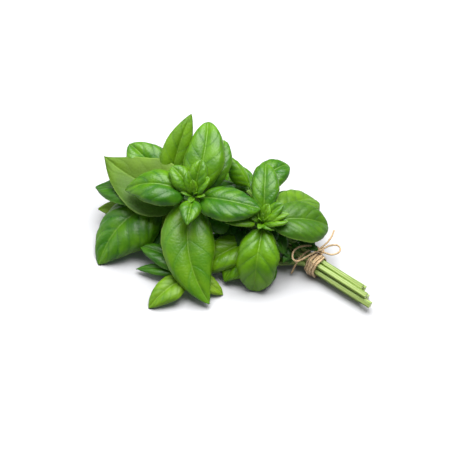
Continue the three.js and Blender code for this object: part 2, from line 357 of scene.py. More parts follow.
class Shader:
    """A material under construction."""

    def __init__(self, name: str) -> None:
        """Start an empty material.

        Args:
            name: The material's name.
        """
        self.material = bpy.data.materials.new(name)
        self.material.use_nodes = True
        self.tree = self.material.node_tree
        self.tree.nodes.clear()

    def node(
        self,
        kind: str,
        settings: dict[str, Any] | None = None,
        inputs: dict[int | str, Any] | None = None,
        output: int | str = 0,
    ) -> Value:
        """Add a node.

        Args:
            kind: The node's type.
            settings: Its settings, which are set before its sockets.
            inputs: The numbers or the values of its sockets.
            output: Which of its outputs to hand back.

        Returns:
            The wrapped output.
        """
        node = self.tree.nodes.new(kind)
        for setting, choice in (settings or {}).items():
            setattr(node, setting, choice)
        for socket, given in (inputs or {}).items():
            if isinstance(given, Value):
                self.tree.links.new(given.socket, node.inputs[socket])
            else:
                node.inputs[socket].default_value = given
        return Value(self, node.outputs[output] if len(node.outputs) else None)

    def mix(self, factor: Any, first: Any, second: Any) -> Value:
        """Mix two colours.

        Args:
            factor: How much of the second colour, from 0 to 1.
            first: The first colour.
            second: The second colour.

        Returns:
            The mixed colour.
        """
        settings = {"data_type": "RGBA", "clamp_result": True}
        return self.node("ShaderNodeMix", settings, {0: factor, 6: first, 7: second}, 2)

    def chart(self, name: str) -> tuple[Value, Value, Value]:
        """Read one of a mesh's own maps.

        Args:
            name: The name of the map.

        Returns:
            The map as a vector, and its two numbers.
        """
        vector = self.node("ShaderNodeUVMap", {"uv_map": name})
        first = self.node("ShaderNodeSeparateXYZ", None, {0: vector})
        return vector, first, Value(self, first.socket.node.outputs[1])

    def noise(self, vector: Value, scale: float, detail: float = 2.0) -> Value:
        """Read soft noise.

        Args:
            vector: Where to read it.
            scale: How many bumps a unit of the vector holds.
            detail: How many finer layers it has.

        Returns:
            A number from 0 to 1.
        """
        inputs = {"Vector": vector, "Scale": scale, "Detail": detail}
        return self.node("ShaderNodeTexNoise", {"noise_dimensions": "2D"}, inputs)

    def streaks(self, vector: Value, bumps: Pair, detail: float = 3.0) -> Value:
        """Read soft noise that is drawn out along one side of a map.

        Args:
            vector: Where to read it.
            bumps: How many bumps a unit of the map holds on each side.
            detail: How many finer layers it has.

        Returns:
            A number from 0 to 1.
        """
        operation = {"operation": "MULTIPLY"}
        scaled = self.node("ShaderNodeVectorMath", operation, {0: vector, 1: (*bumps, 1.0)})
        return self.noise(scaled, 1.0, detail)

    def cells(self, vector: Value, scale: float) -> Value:
        """Read how far the nearest wall of a net of cells is.

        Args:
            vector: Where to read it.
            scale: How many cells a unit of the vector holds.

        Returns:
            The distance, which is 0 on a wall.
        """
        settings = {"voronoi_dimensions": "2D", "feature": "DISTANCE_TO_EDGE"}
        return self.node("ShaderNodeTexVoronoi", settings, {"Vector": vector, "Scale": scale})

    def bump(self, height: Value, depth_mm: float, strength: float) -> Value:
        """Turn a height into a bent normal.

        Args:
            height: The height, about 0 to 1.
            depth_mm: How deep a height of 1 is.
            strength: How much of the bend is kept.

        Returns:
            The normal.
        """
        inputs = {"Strength": strength, "Distance": depth_mm * MM, "Height": height}
        return self.node("ShaderNodeBump", None, inputs)

    def surface(self, inputs: dict[str, Any]) -> Value:
        """Add the main surface shader with these socket values."""
        return self.node("ShaderNodeBsdfPrincipled", None, inputs)

    def done(self, surface: Value) -> bpy.types.Material:
        """Send a surface to the output and hand the finished material back."""
        self.node("ShaderNodeOutputMaterial", None, {"Surface": surface})
        return self.material


# ------------------------------------------------------------------ finishes
#
# Where no comment says otherwise, a pair is where a mask starts and where it is full, a scale is
# how many bumps a unit of the map holds, a paint is how much colour a mask lays on, and a shade is
# how much it darkens.


@dataclass(frozen=True)
class Finish:
    """One finish, which builds a material under its own name."""

    name: str

    def material(self) -> bpy.types.Material:
        """Build the material."""
        shader = Shader(self.name)
        return shader.done(self.surface(shader))

    def surface(self, shader: Shader) -> Value:
        """Build the surface, which each finish does in its own way."""
        raise NotImplementedError


@dataclass(frozen=True)
class Veins:
    """What a blade's veins look like to its shader."""

    blade: Value  # the blade's map, in centimetres
    reach: Value  # how far from the midrib towards the rim, from 0 to 1
    gap: Value  # how far the nearest side vein is, where half is midway between two
    shown: Value  # the mask of the part that has side veins
    line: Value  # the mask of the side veins
    rib: Value  # the mask of the midrib
    cell: Value  # how far the nearest wall of the fine net is
    net: Value  # the mask of the fine net


@dataclass(frozen=True)
class BladeFinish(Finish):
    """What the two faces of a leaf share: their veins, and the light that comes through."""

    deep: Colour
    bright: Colour
    vein: Colour
    glow: Colour  # the light that comes through
    clarity: float = 0.34  # how much light comes through
    specular: float = 0.42
    first_vein: Pair = (0.0, 0.25)
    vein_end: Pair = (0.97, 0.7)
    side_vein: Pair = (0.045, 0.012)
    midrib: Pair = (0.09, 0.025)
    net_band: Pair = (0.09, 0.0)
    net_scale: float = 3.4  # cells to a centimetre
    paint: Triple = (0.06, 0.05, 0.18)  # of the net, the side veins and the midrib
    relief: Triple = (0.35, 0.5, 0.12)  # of the cells, the side veins and the grain
    bump: Pair = (0.25, 0.8)  # its depth in millimetres, and how much of it shows

    @classmethod
    def shaded(cls, name: str, *colours: tuple[int, int, int]) -> "BladeFinish":
        """Make the finish from a name and screen colours in the order of its fields."""
        return cls(name, *(srgb(*colour) for colour in colours))

    def veins(self, shader: Shader) -> Veins:
        """Draw the veins' masks.

        Args:
            shader: The shader that takes them.

        Returns:
            The masks and what they are drawn from.
        """
        blade, _, across = shader.chart("blade")
        _, phase, span = shader.chart("veins")
        reach = abs(span)
        gap = phase.pingpong(0.5)
        shown = phase.step(*self.first_vein) * reach.step(*self.vein_end)
        line = gap.step(*self.side_vein) * shown
        rib = abs(across).step(*self.midrib)
        cell = shader.cells(blade, self.net_scale)
        return Veins(blade, reach, gap, shown, line, rib, cell, cell.step(*self.net_band))

    def painted(self, shader: Shader, colour: Value, veins: Veins) -> Value:
        """Paint the veins over the skin.

        Args:
            shader: The shader that takes them.
            colour: The skin's colour.
            veins: The veins.

        Returns:
            The skin's colour with its veins.
        """
        for mask, weight in zip((veins.net, veins.line, veins.rib), self.paint):
            colour = shader.mix(mask * weight, colour, self.vein)
        return colour

    def lit(self, shader: Shader, colour: Value, roughness: Value, height: Value) -> Value:
        """Add the skin's shader and let some light through it.

        Args:
            shader: The shader that takes it.
            colour: The skin's colour.
            roughness: The skin's roughness.
            height: The height of its fine relief.

        Returns:
            The surface.
        """
        inputs = {
            "Base Color": colour,
            "Roughness": roughness,
            "Specular IOR Level": self.specular,
            "Normal": shader.bump(height, *self.bump),
        }
        through = shader.node("ShaderNodeBsdfTranslucent", None, {"Color": self.glow})
        both = {0: self.clarity, 1: shader.surface(inputs), 2: through}
        return shader.node("ShaderNodeMixShader", None, both)


@dataclass(frozen=True)
class LeafFinish(BladeFinish):
    """The glossy upper face of a leaf, with sunken veins and blisters between them, painted shade
    in their valleys and a painted highlight on the rim.
    """

    aged: Colour = srgb(130, 142, 0)  # the yellower skin of an old leaf
    roughness: float = 0.33
    dulling: Triple = (0.12, 0.1, 0.9)  # by the grain, the side veins and age
    lightness: float = 0.42  # of the plain skin, from the darkest to the lightest
    tint_and_light_share: float = 0.5  # how much a leaf's own tint and painted light or shade lighten it
    # painted shade darkens the valleys between the side veins: where it starts and is full, and how
    # much
    valley: Pair = (0.16, 0.0)
    valley_painted_shade: float = 0.22
    grain_shade: float = 0.2
    blend: Pair = (-0.1, 1.1)
    # a painted highlight: the rim is lightened where light catches the edge
    rim: Pair = (0.93, 1.0)
    rim_highlight: float = 0.45
    blister: Pair = (0.0, 0.35)  # how a cell of the net rises
    patch_scale: float = 0.8
    grain_scale: float = 26.0

    def surface(self, shader: Shader) -> Value:
        """Build the surface.

        Args:
            shader: The shader that takes it.

        Returns:
            The surface.
        """
        veins = self.veins(shader)
        _, tint, age = shader.chart("tint")
        valley = veins.gap.step(*self.valley) * veins.shown
        patches = shader.noise(veins.blade, self.patch_scale, 3.0) - 0.5
        grain = shader.noise(veins.blade, self.grain_scale)
        # a leaf's tint carries painted light or shade as well as its own colour
        light = patches + self.lightness + tint * self.tint_and_light_share
        # painted shade in the valleys between the side veins
        light = light - valley * self.valley_painted_shade + (grain - 0.5) * self.grain_shade
        colour = shader.mix(light.step(*self.blend), self.deep, self.bright)
        colour = self.painted(shader, shader.mix(age, colour, self.aged), veins)
        # painted highlight along the rim
        rim = veins.reach.step(*self.rim) * self.rim_highlight
        colour = shader.mix(rim, colour, self.vein)
        cells, lines, grains = self.relief
        height = veins.cell.step(*self.blister) * cells + (1 - veins.line) * lines + grain * grains
        by_grain, by_line, by_age = self.dulling
        rough = self.roughness + grain * by_grain + veins.line * by_line + age * by_age
        return self.lit(shader, colour, rough, height)


@dataclass(frozen=True)
class UndersideFinish(BladeFinish):
    """The matt, paler underside of a leaf, with raised veins."""

    clarity: float = 0.22
    specular: float = 0.35
    side_vein: Pair = (0.07, 0.02)
    midrib: Pair = (0.12, 0.04)
    net_band: Pair = (0.12, 0.0)
    paint: Triple = (0.3, 0.7, 0.8)
    relief: Triple = (0.4, 0.8, 0.2)
    blend: Pair = (0.25, 0.75)
    roughness: Pair = (0.58, 0.1)  # the least, and what the patches add
    patch_scale: float = 1.2
    grain_scale: float = 30.0

    def surface(self, shader: Shader) -> Value:
        """Build the surface.

        Args:
            shader: The shader that takes it.

        Returns:
            The surface.
        """
        veins = self.veins(shader)
        patches = shader.noise(veins.blade, self.patch_scale, 3.0)
        colour = shader.mix(patches.step(*self.blend), self.deep, self.bright)
        colour = self.painted(shader, colour, veins)
        cells, lines, grains = self.relief
        grain = shader.noise(veins.blade, self.grain_scale)
        height = veins.net * cells + veins.line * lines + grain * grains
        least, more = self.roughness
        return self.lit(shader, colour, least + patches * more, height)


@dataclass(frozen=True)
class StemFinish(Finish):
    """A juicy, pale green stem with grooves that run along it, darkened with painted shade."""

    name: str = "stem_skin"
    pale: Colour = srgb(138, 158, 82)  # on the ribs, near the cut end
    green: Colour = srgb(84, 110, 6)  # in the grooves, as painted shade, and in the streaks and spots
    leafy: Colour = srgb(72, 114, 16)  # up among the leaves
    leafy_band: Pair = (6.0, 13.0)  # in centimetres from the cut end
    leafy_paint: float = 0.75
    sides: int = 4
    groove: Pair = (0.3, 0.04)
    # painted shade darkens the grooves
    groove_painted_shade: float = 0.8
    streak: Pair = (26.0, 0.5)  # how many a turn and a centimetre hold
    streak_shade: float = 1.2
    thread: Pair = (70.0, 1.2)
    spot: Pair = (14.0, 5.0)
    spot_shade: float = 0.3
    green_all_over: float = 0.05  # how green the plain skin is
    relief: Triple = (0.5, 0.5, 0.4)  # of the threads, the streaks and the grooves
    roughness: Pair = (0.4, 0.15)  # the least, and what the streaks add
    specular: float = 0.5
    bump: Pair = (0.3, 0.8)

    def surface(self, shader: Shader) -> Value:
        """Build the surface.

        Args:
            shader: The shader that takes it.

        Returns:
            The surface.
        """
        skin, turn, along = shader.chart("skin")
        groove = (turn * self.sides).pingpong(0.5).step(*self.groove)
        streaks = shader.streaks(skin, self.streak)
        threads = shader.streaks(skin, self.thread, 2.0)
        spots = shader.streaks(skin, self.spot)
        # painted shade in the grooves, with the stem's own streaks and spots
        shade = groove * self.groove_painted_shade + (streaks - 0.5) * self.streak_shade
        shade = shade + (spots - 0.5) * self.spot_shade + self.green_all_over
        colour = shader.mix(shade.step(0.0, 1.0), self.pale, self.green)
        leafy = along.step(*self.leafy_band) * self.leafy_paint
        thread_height, streak_height, groove_depth = self.relief
        height = threads * thread_height + streaks * streak_height - groove * groove_depth
        least, more = self.roughness
        inputs = {
            "Base Color": shader.mix(leafy, colour, self.leafy),
            "Roughness": least + streaks * more,
            "Specular IOR Level": self.specular,
            "Normal": shader.bump(height, *self.bump),
        }
        return shader.surface(inputs)


@dataclass(frozen=True)
class PithFinish(Finish):
    """The fresh cut end of a stem: a green rim, a ring of vessels and a pale pith."""

    name: str = "stem_pith"
    pith: Colour = srgb(214, 224, 168)
    vessel: Colour = srgb(150, 176, 92)
    rim: Colour = srgb(118, 158, 60)  # the skin round the pith
    grain_scale: float = 7.0
    grain_paint: float = 0.35
    ring_inside: Pair = (0.5, 0.68)  # of the ring of vessels
    ring_outside: Pair = (0.88, 0.74)
    ring_paint: float = 0.6
    rim_band: Pair = (0.84, 0.97)
    roughness: Pair = (0.45, 0.2)  # the least, and what the grain adds
    bump: Pair = (0.2, 0.7)

    def surface(self, shader: Shader) -> Value:
        """Build the surface.

        Args:
            shader: The shader that takes it.

        Returns:
            The surface.
        """
        skin, first, second = shader.chart("skin")
        radius = (first * first + second * second) ** 0.5
        grain = shader.noise(skin, self.grain_scale, 3.0)
        ring = radius.step(*self.ring_inside) * radius.step(*self.ring_outside)
        colour = shader.mix(grain * self.grain_paint, self.pith, self.vessel)
        colour = shader.mix(ring * self.ring_paint, colour, self.vessel)
        colour = shader.mix(radius.step(*self.rim_band), colour, self.rim)
        least, more = self.roughness
        inputs = {
            "Base Color": colour,
            "Roughness": least + grain * more,
            "Normal": shader.bump(grain, *self.bump),
        }
        return shader.surface(inputs)


@dataclass(frozen=True)
class TwineFinish(Finish):
    """Dry jute fibres, laid along the plies of a twine, with painted shade in the hollows between
    the plies.
    """

    name: str = "twine_jute"
    dark: Colour = srgb(156, 126, 90)
    middle: Colour = srgb(204, 176, 134)
    light: Colour = srgb(226, 208, 168)
    fibre: Pair = (1.6, 26.0)  # how many two millimetres and a turn hold
    fibre_band: Pair = (0.3, 0.72)
    patch_scale: float = 1.1
    patch_band: Pair = (0.22, 0.5)
    hollow: Pair = (0.55, 0.0)  # between two plies, darkened there with painted shade
    hollow_painted_shade: float = 0.45
    roughness: Pair = (0.85, 0.1)  # the least, and what the fibres add
    specular: float = 0.2
    sheen: float = 0.25
    bump: Pair = (0.16, 0.9)

    def surface(self, shader: Shader) -> Value:
        """Build the surface.

        Args:
            shader: The shader that takes it.

        Returns:
            The surface.
        """
        rope, _, _ = shader.chart("rope")
        _, ply, _ = shader.chart("ply")
        fibres = shader.streaks(rope, self.fibre)
        patches = shader.noise(rope, self.patch_scale) * fibres
        colour = shader.mix(fibres.step(*self.fibre_band), self.dark, self.middle)
        colour = shader.mix(patches.step(*self.patch_band), colour, self.light)
        # painted shade in the hollows between the plies
        colour = shader.mix(ply.step(*self.hollow) * self.hollow_painted_shade, colour, self.dark)
        least, more = self.roughness
        inputs = {
            "Base Color": colour,
            "Roughness": least + fibres * more,
            "Specular IOR Level": self.specular,
            "Sheen Weight": self.sheen,
            "Normal": shader.bump(fibres, *self.bump),
        }
        return shader.surface(inputs)


@dataclass(frozen=True)
class FloorFinish(Finish):
    """A plain pale studio floor."""

    name: str = "studio_floor"
    paint: Colour = (0.43, 0.43, 0.44, 1.0)
    dust: Colour = (0.42, 0.42, 0.42, 1.0)
    grain_scale: float = 6.0
    grain_paint: float = 0.02
    roughness: float = 0.9
    specular: float = 0.1

    def surface(self, shader: Shader) -> Value:
        """Build the surface.

        Args:
            shader: The shader that takes it.

        Returns:
            The surface.
        """
        place = shader.node("ShaderNodeTexCoord", None, None, "Object")
        grain = shader.noise(place, self.grain_scale)
        colour = shader.mix(grain * self.grain_paint, self.paint, self.dust)
        inputs = {
            "Base Color": colour,
            "Roughness": self.roughness,
            "Specular IOR Level": self.specular,
        }
        return shader.surface(inputs)


class Tone(Enum):
    """How old a leaf is and whether its colours carry painted shade, which picks its slot and its
    colours.
    """

    UPPER = "leaf"
    YOUNG = "young_leaf"
    SHADED = "shaded_leaf"


# For each tone, the name of its finish and the deep, bright, vein and glow colours.
# The shaded tone is a darker copy of the others: painted shade for leaves that lie in shade.
UPPER_SHADES = {
    Tone.UPPER: ("leaf_upper", (32, 90, 0), (104, 154, 0), (150, 184, 76), (112, 176, 0)),
    Tone.YOUNG: ("leaf_young", (60, 116, 0), (118, 160, 14), (158, 186, 82), (128, 178, 0)),
    Tone.SHADED: ("leaf_shaded", (28, 82, 0), (74, 128, 4), (118, 162, 60), (96, 164, 0)),
}
UNDER_SHADES = {
    Tone.UPPER: ("under_upper", (92, 140, 70), (122, 168, 96), (168, 198, 136), (120, 200, 30)),
    Tone.YOUNG: ("under_young", (116, 160, 74), (146, 186, 100), (186, 210, 142), (150, 215, 40)),
    Tone.SHADED: ("under_shaded", (74, 120, 58), (104, 150, 82), (148, 182, 118), (100, 180, 24)),
}


class Palette:
    """Makes each finish's material once."""

    def __init__(self) -> None:
        """Start with no material made."""
        self.made: dict[str, bpy.types.Material] = {}

    def of(self, finish: Finish) -> bpy.types.Material:
        """Give the material of a finish.

        Args:
            finish: The finish.

        Returns:
            Its material.
        """
        if finish.name not in self.made:
            self.made[finish.name] = finish.material()
        return self.made[finish.name]


# ------------------------------------------------------------------ meshes


class Skin:
    """Points, faces and maps that are gathered into one mesh."""

    def __init__(self, charts: tuple[str, ...]) -> None:
        """Start an empty skin.

        Args:
            charts: The names of the maps that it carries.
        """
        self.points: list[np.ndarray] = []
        self.corners: list[np.ndarray] = []
        self.counts: list[np.ndarray] = []
        self.finishes: list[np.ndarray] = []
        self.charts: dict[str, list[np.ndarray]] = {name: [] for name in charts}
        self.size = 0

    def add(
        self,
        points: np.ndarray,
        faces: np.ndarray,
        finish: np.ndarray | int,
        charts: dict[str, np.ndarray],
    ) -> None:
        """Add a patch.

        Args:
            points: Its points in millimetres, one a row.
            faces: Its faces, one a row, all with the same number of corners.
            finish: The material index of all faces or of each.
            charts: For each map, a pair of numbers for each corner of each face.
        """
        self.points.append(points)
        self.corners.append((faces + self.size).reshape(-1))
        self.counts.append(np.full(len(faces), faces.shape[1]))
        self.finishes.append(np.broadcast_to(np.asarray(finish), (len(faces),)))
        for name, given in charts.items():
            self.charts[name].append(given.reshape(-1, 2))
        self.size += len(points)

    def tube(
        self,
        rings: np.ndarray,
        finish: np.ndarray | int,
        charts: dict[str, np.ndarray],
        capped: bool = True,
        inward: bool = False,
    ) -> None:
        """Add a tube through rings.

        Args:
            rings: The points as rings, sides and axes.
            finish: The material index of all side faces, or of each side.
            charts: For each map, numbers for each ring and each side plus the first again.
            capped: Whether both ends get a fan.
            inward: Whether the faces look the other way.
        """
        rows, sides = rings.shape[:2]
        order = [1, 0, 3, 2] if inward else [0, 1, 2, 3]
        first = np.arange(rows - 1)[:, None] * sides
        side = np.arange(sides)[None, :]
        following = (side + 1) % sides
        quads = np.stack(
            [first + side, first + following, first + sides + following, first + sides + side], -1
        )[..., order]
        spread = {
            name: np.stack(
                [grid[:-1, :-1], grid[:-1, 1:], grid[1:, 1:], grid[1:, :-1]], 2
            )[:, :, order]
            for name, grid in charts.items()
        }
        kinds = np.broadcast_to(np.asarray(finish), (rows - 1, sides)).reshape(-1)
        self.add(rings.reshape(-1, 3), quads.reshape(-1, 4), kinds, spread)
        if capped:
            base = self.size - rows * sides
            kind = int(np.asarray(finish).reshape(-1)[0])
            for row, way in ((0, [1, 0]), (rows - 1, [0, 1])):
                edges = {
                    name: np.stack([grid[row, :-1], grid[row, 1:]], 1)[:, way]
                    for name, grid in charts.items()
                }
                self._fan(base + row * sides, rings[row], kind, edges, way)

    def _fan(
        self,
        start: int,
        ring: np.ndarray,
        finish: int,
        edges: dict[str, np.ndarray],
        way: list[int],
    ) -> None:
        """Close one end of a tube with triangles round its middle.

        Args:
            start: The index of the ring's first point.
            ring: The ring's points.
            finish: The material index.
            edges: For each map, the numbers at both ends of each side.
            way: Which way round the triangles go.
        """
        sides = len(ring)
        side = np.arange(sides)
        pair = np.stack([side, (side + 1) % sides], 1)[:, way] + start - self.size
        faces = np.column_stack([pair, np.zeros(sides, int)])
        spread = {}
        for name, edge in edges.items():
            middle = np.broadcast_to(edge.mean(axis=(0, 1)), (sides, 1, 2))
            spread[name] = np.concatenate([edge, middle], 1)
        self.add(ring.mean(axis=0)[None], faces, finish, spread)

    def lid(
        self, ring: np.ndarray, finish: int, chart: str, spot: np.ndarray, inward: bool = False
    ) -> None:
        """Close a ring with one flat face.

        Args:
            ring: The ring's points.
            finish: The material index.
            chart: The name of the map.
            spot: The pair of numbers that the whole face takes on the map.
            inward: Whether the face looks the other way.
        """
        sides = len(ring)
        face = np.arange(sides)[None, :: -1 if inward else 1]
        self.add(ring, face, finish, {chart: np.broadcast_to(spot, (1, sides, 2))})

    def piece(self, name: str, slot: str, materials: list[bpy.types.Material]) -> bpy.types.Object:
        """Make the object and let it ride on the body.

        Args:
            name: The object's name.
            slot: The name of the piece's material slot; not used.
            materials: Its materials, in the order of the material indices.

        Returns:
            The new object.
        """
        counts = np.concatenate(self.counts)
        corners = np.concatenate(self.corners)
        mesh = bpy.data.meshes.new(name)
        mesh.vertices.add(self.size)
        places = (np.concatenate(self.points) * MM).astype(np.float32)
        mesh.vertices.foreach_set("co", places.ravel())
        mesh.loops.add(len(corners))
        mesh.loops.foreach_set("vertex_index", corners.astype(np.int32))
        mesh.polygons.add(len(counts))
        starts = np.concatenate([[0], np.cumsum(counts)[:-1]])
        mesh.polygons.foreach_set("loop_start", starts.astype(np.int32))
        for material in materials:
            mesh.materials.append(material)
        mesh.polygons.foreach_set("material_index", np.concatenate(self.finishes).astype(np.int32))
        mesh.update(calc_edges=True)
        mesh.polygons.foreach_set("use_smooth", np.ones(len(counts), bool))
        for chart, given in self.charts.items():
            layer = mesh.uv_layers.new(name=chart)
            layer.data.foreach_set("uv", np.concatenate(given).astype(np.float32).ravel())
        mesh.validate()
        piece = bpy.data.objects.new(name, mesh)
        bpy.context.collection.objects.link(piece)
        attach(piece, BODY)
        return piece


def report(piece: bpy.types.Object) -> None:
    """Log a finished piece with its number of faces."""
    log.info("%s: %d faces", piece.name, len(piece.data.polygons))


# ------------------------------------------------------------------ leaves

LEAF_CHARTS = ("blade", "veins", "tint")
CHART_UNIT = 10  # millimetres of skin to one unit of a map


@dataclass
class BladeGrid:
    """Where the points of one leaf's sheet lie."""

    shares: np.ndarray  # shares of the way along the chord, one a section
    fraction: np.ndarray  # even places across the sheet from -1 to 1
    blade: np.ndarray  # shares of the blade's length without its stalk, one column
    # places across the blade from -1 to 1, closer at the midrib and the rim, one row
    span: np.ndarray
    half: np.ndarray  # half the blade's width at each section, one column
    phase: np.ndarray  # how many side veins lie behind each point
    stalk: float  # the radius of the stalk
    seed: int  # what makes this leaf its own

    @property
    def reach(self) -> np.ndarray:
        """How far each column is from the midrib, from 0 to 1 at the rim."""
        return np.abs(self.span)


@dataclass(frozen=True)
class BladeForm:
    """How the skin of every blade is worked. Lengths are in millimetres.

    The skin puffs up between the side veins, has broad swells, and ripples and curls under at the
    rim. These heights are those of a blade of the standard width, and grow with the width. A band,
    start or end is the part of the way over which something rises, or falls where it runs down.
    """

    roundness: float = 0.48
    # The mesh
    rows: Triple = (1.35, 12, 74)  # sections a millimetre of mean size, the fewest and the most
    columns: Triple = (0.42, 5, 22)  # of half a blade, in the same way
    crowding: float = 0.085  # how far they draw together at the midrib and the rim
    # The stalk, and its foot inside the stem
    stalk: Pair = (0.36, 0.012)  # its radius on a leaf with no width, and its growth
    stalk_most: float = 0.75
    clearance: float = 0.3  # from the skin of the stem to the stalk
    foot_share: float = -0.01  # the share of the chord that stands for the foot
    feet: Triple = (0.35, 0.62, 0.85)  # the sections inside the stem, as shares of the way out
    flares: Triple = (1.7, 1.3, 1.1)  # how much wider than the stalk they are
    opening: Pair = (0.0, 0.06)  # how the stalk opens into the blade
    # The side veins and the outline
    vein_curve: Pair = (0.75, 0.5)  # how a side vein bends forward on its way out
    vein_shift: Pair = (0.15, 12)  # how far both halves are out of step, and how sharply
    first_gap: float = 0.5  # how many gaps lie before the first side vein
    # their depth as a share of the width, how many to a side vein, and how near the rim they keep
    teeth: Triple = (0.006, 2.5, 8)
    tooth_start: float = 0.1
    # their depth in the same way, and their pace along the blade
    waves: tuple[Pair, Pair] = ((0.035, 6), (0.018, 15))
    # The relief, on a blade of the standard width
    standard_width: float = 40
    puff_softness: float = 0.6
    puff_band: Pair = (0.0, 0.35)
    puff_end: Pair = (1.0, 0.65)
    puff_start: Pair = (-0.3, 0.6)
    tip_band: Pair = (1.0, 0.8)
    swells: int = 4
    swell_height: float = 0.5
    swell_band: Pair = (0, 0.5)
    swell_along: Pair = (2, 6)
    swell_across: Pair = (1, 3)
    ripple_height: float = 0.45
    ripple_pace: Pair = (8, 13)
    ripple_band: Pair = (0.5, 1.0)
    ripple_start: Pair = (0, 0.2)
    curl_band: Pair = (0.7, 1.0)
    curl_power: float = 1.5
    curl_start: Pair = (0.0, 0.25)
    # The thickness
    crease: Pair = (0.75, 1.1)  # over the midrib: its depth in stalks, and its width
    rib: Pair = (1.15, 1.1)  # below: its height and its width in stalks
    rib_taper: float = 0.8
    vein: Pair = (0.16, 0.5)  # its height and its width
    vein_end: Pair = (1, 0.6)
    wall: float = 0.2  # half the thickness
    wall_power: float = 6
    # The half that turns away from the light
    shy_side: Pair = (0.3, -0.4)  # across the blade
    shy_end: Pair = (0.9, 0.4)  # along it
    shy_fade: float = 0.4  # how much less old the shy half looks

    @staticmethod
    def count(size: float, rule: Triple) -> int:
        """Count the sections or columns of a leaf.

        Args:
            size: The leaf's mean size.
            rule: The number for each millimetre, the fewest and the most.

        Returns:
            The number.
        """
        return int(np.clip(size * rule[0], rule[1], rule[2]))

    def stalk_radius(self, width: float) -> float:
        """Give the radius of the stalk of a leaf of this width."""
        return min(self.stalk_most, self.stalk[0] + self.stalk[1] * width)

    def columns_across(self, fraction: np.ndarray) -> np.ndarray:
        """Draw even columns together at the midrib and the rim.

        Args:
            fraction: Even places across the sheet from -1 to 1.

        Returns:
            The drawn places, as one row.
        """
        even = np.abs(fraction)
        return (np.sign(fraction) * (even - self.crowding * np.sin(FULL_TURN * even)))[None, :]

    def outline(self, grid: BladeGrid, veins: float) -> np.ndarray:
        """Work out how the rim leaves its plain outline in teeth and waves.

        Args:
            grid: The leaf's points.
            veins: How many side veins each half of the blade has.

        Returns:
            The width of each point, as a share of the plain one.
        """
        deep, often, near = self.teeth
        turns = veins * often * grid.blade + self.tooth_start * grid.seed
        teeth = 1 + deep * np.sin(FULL_TURN * turns) * grid.reach**near
        starts = np.random.default_rng(grid.seed + 1).uniform(0, FULL_TURN, 4)
        halves = [
            sum(
                depth * np.sin(pace * grid.blade + starts[side + 2 * wave])
                for wave, (depth, pace) in enumerate(self.waves)
            )
            for side in (0, 1)
        ]
        return teeth + np.where(grid.span < 0, *halves) * grid.reach**2

    def relief(self, grid: BladeGrid, leaf: "Leaf") -> np.ndarray:
        """Work out how far the blade's skin stands off its plain bent sheet.

        Args:
            grid: The leaf's points.
            leaf: The leaf.

        Returns:
            Heights in millimetres for each section and column.
        """
        chance = np.random.default_rng(grid.seed)
        blade, span, reach = grid.blade, grid.span, grid.reach
        tip = smooth(blade, *self.tip_band)
        between = grid.phase - np.floor(grid.phase)
        puff = (4 * between * (1 - between)) ** self.puff_softness
        room = smooth(reach, *self.puff_band) * smooth(reach, *self.puff_end)
        started = smooth(grid.phase, *self.puff_start) * tip
        height = leaf.pucker * puff * room * started
        for _ in range(self.swells):
            along, across = chance.uniform(*self.swell_along), chance.uniform(*self.swell_across)
            start = chance.uniform(0, FULL_TURN, 2)
            wave = np.sin(along * blade + start[0]) * np.sin(across * span + start[1])
            height = height + self.swell_height * wave * smooth(reach, *self.swell_band)
        for sign in (-1, 1):
            start = chance.uniform(0, FULL_TURN)
            pace = chance.uniform(*self.ripple_pace)
            rim = smooth(span * sign, *self.ripple_band) * smooth(blade, *self.ripple_start) * tip
            ripple = np.sin(pace * blade + start)
            height = height + self.ripple_height * leaf.pucker * rim * ripple
        rim = smooth(reach, *self.curl_band) ** self.curl_power
        curl = leaf.curl * rim * smooth(blade, *self.curl_start)
        return (height - curl) * (leaf.width / self.standard_width)

    def thickness(self, grid: BladeGrid, leaf: "Leaf") -> tuple[np.ndarray, np.ndarray]:
        """Work out how far the two faces lie off the middle of the sheet.

        Args:
            grid: The leaf's points.
            leaf: The leaf.

        Returns:
            The lift of the upper face, and how far the underside hangs below.
        """
        reach = grid.reach
        rib = grid.stalk * (1 - self.rib_taper * grid.blade)
        inland = np.abs(grid.half * grid.span)
        crease = self.crease[0] * rib * ridge(inland, self.crease[1])
        raised = self.rib[0] * rib * ridge(inland, self.rib[1] * rib)
        line = np.abs(grid.phase - np.round(grid.phase)) * leaf.length / leaf.veins
        raised = raised + self.vein[0] * ridge(line, self.vein[1]) * smooth(reach, *self.vein_end)
        wall = self.wall * np.sqrt(np.clip(1 - reach**self.wall_power, 0, 1))
        return wall - crease, wall + raised * (reach < 1)

    def stalk_section(self, grid: BladeGrid) -> tuple[np.ndarray, np.ndarray, np.ndarray]:
        """Work out the round section of the stalk and where it opens into the blade.

        Args:
            grid: The leaf's points.

        Returns:
            The places of the upper half of the stalk's section, and how far it has opened.
        """
        round_x = -grid.stalk * np.cos(math.pi * (grid.fraction[None, :] + 1) / 2)
        round_z = grid.stalk * np.sin(math.pi * (grid.fraction[None, :] + 1) / 2)
        flare = np.ones((len(grid.shares), 1))
        flare[: len(self.flares), 0] = self.flares
        return round_x * flare, round_z * flare, smooth(grid.blade, *self.opening)


FORM = BladeForm()


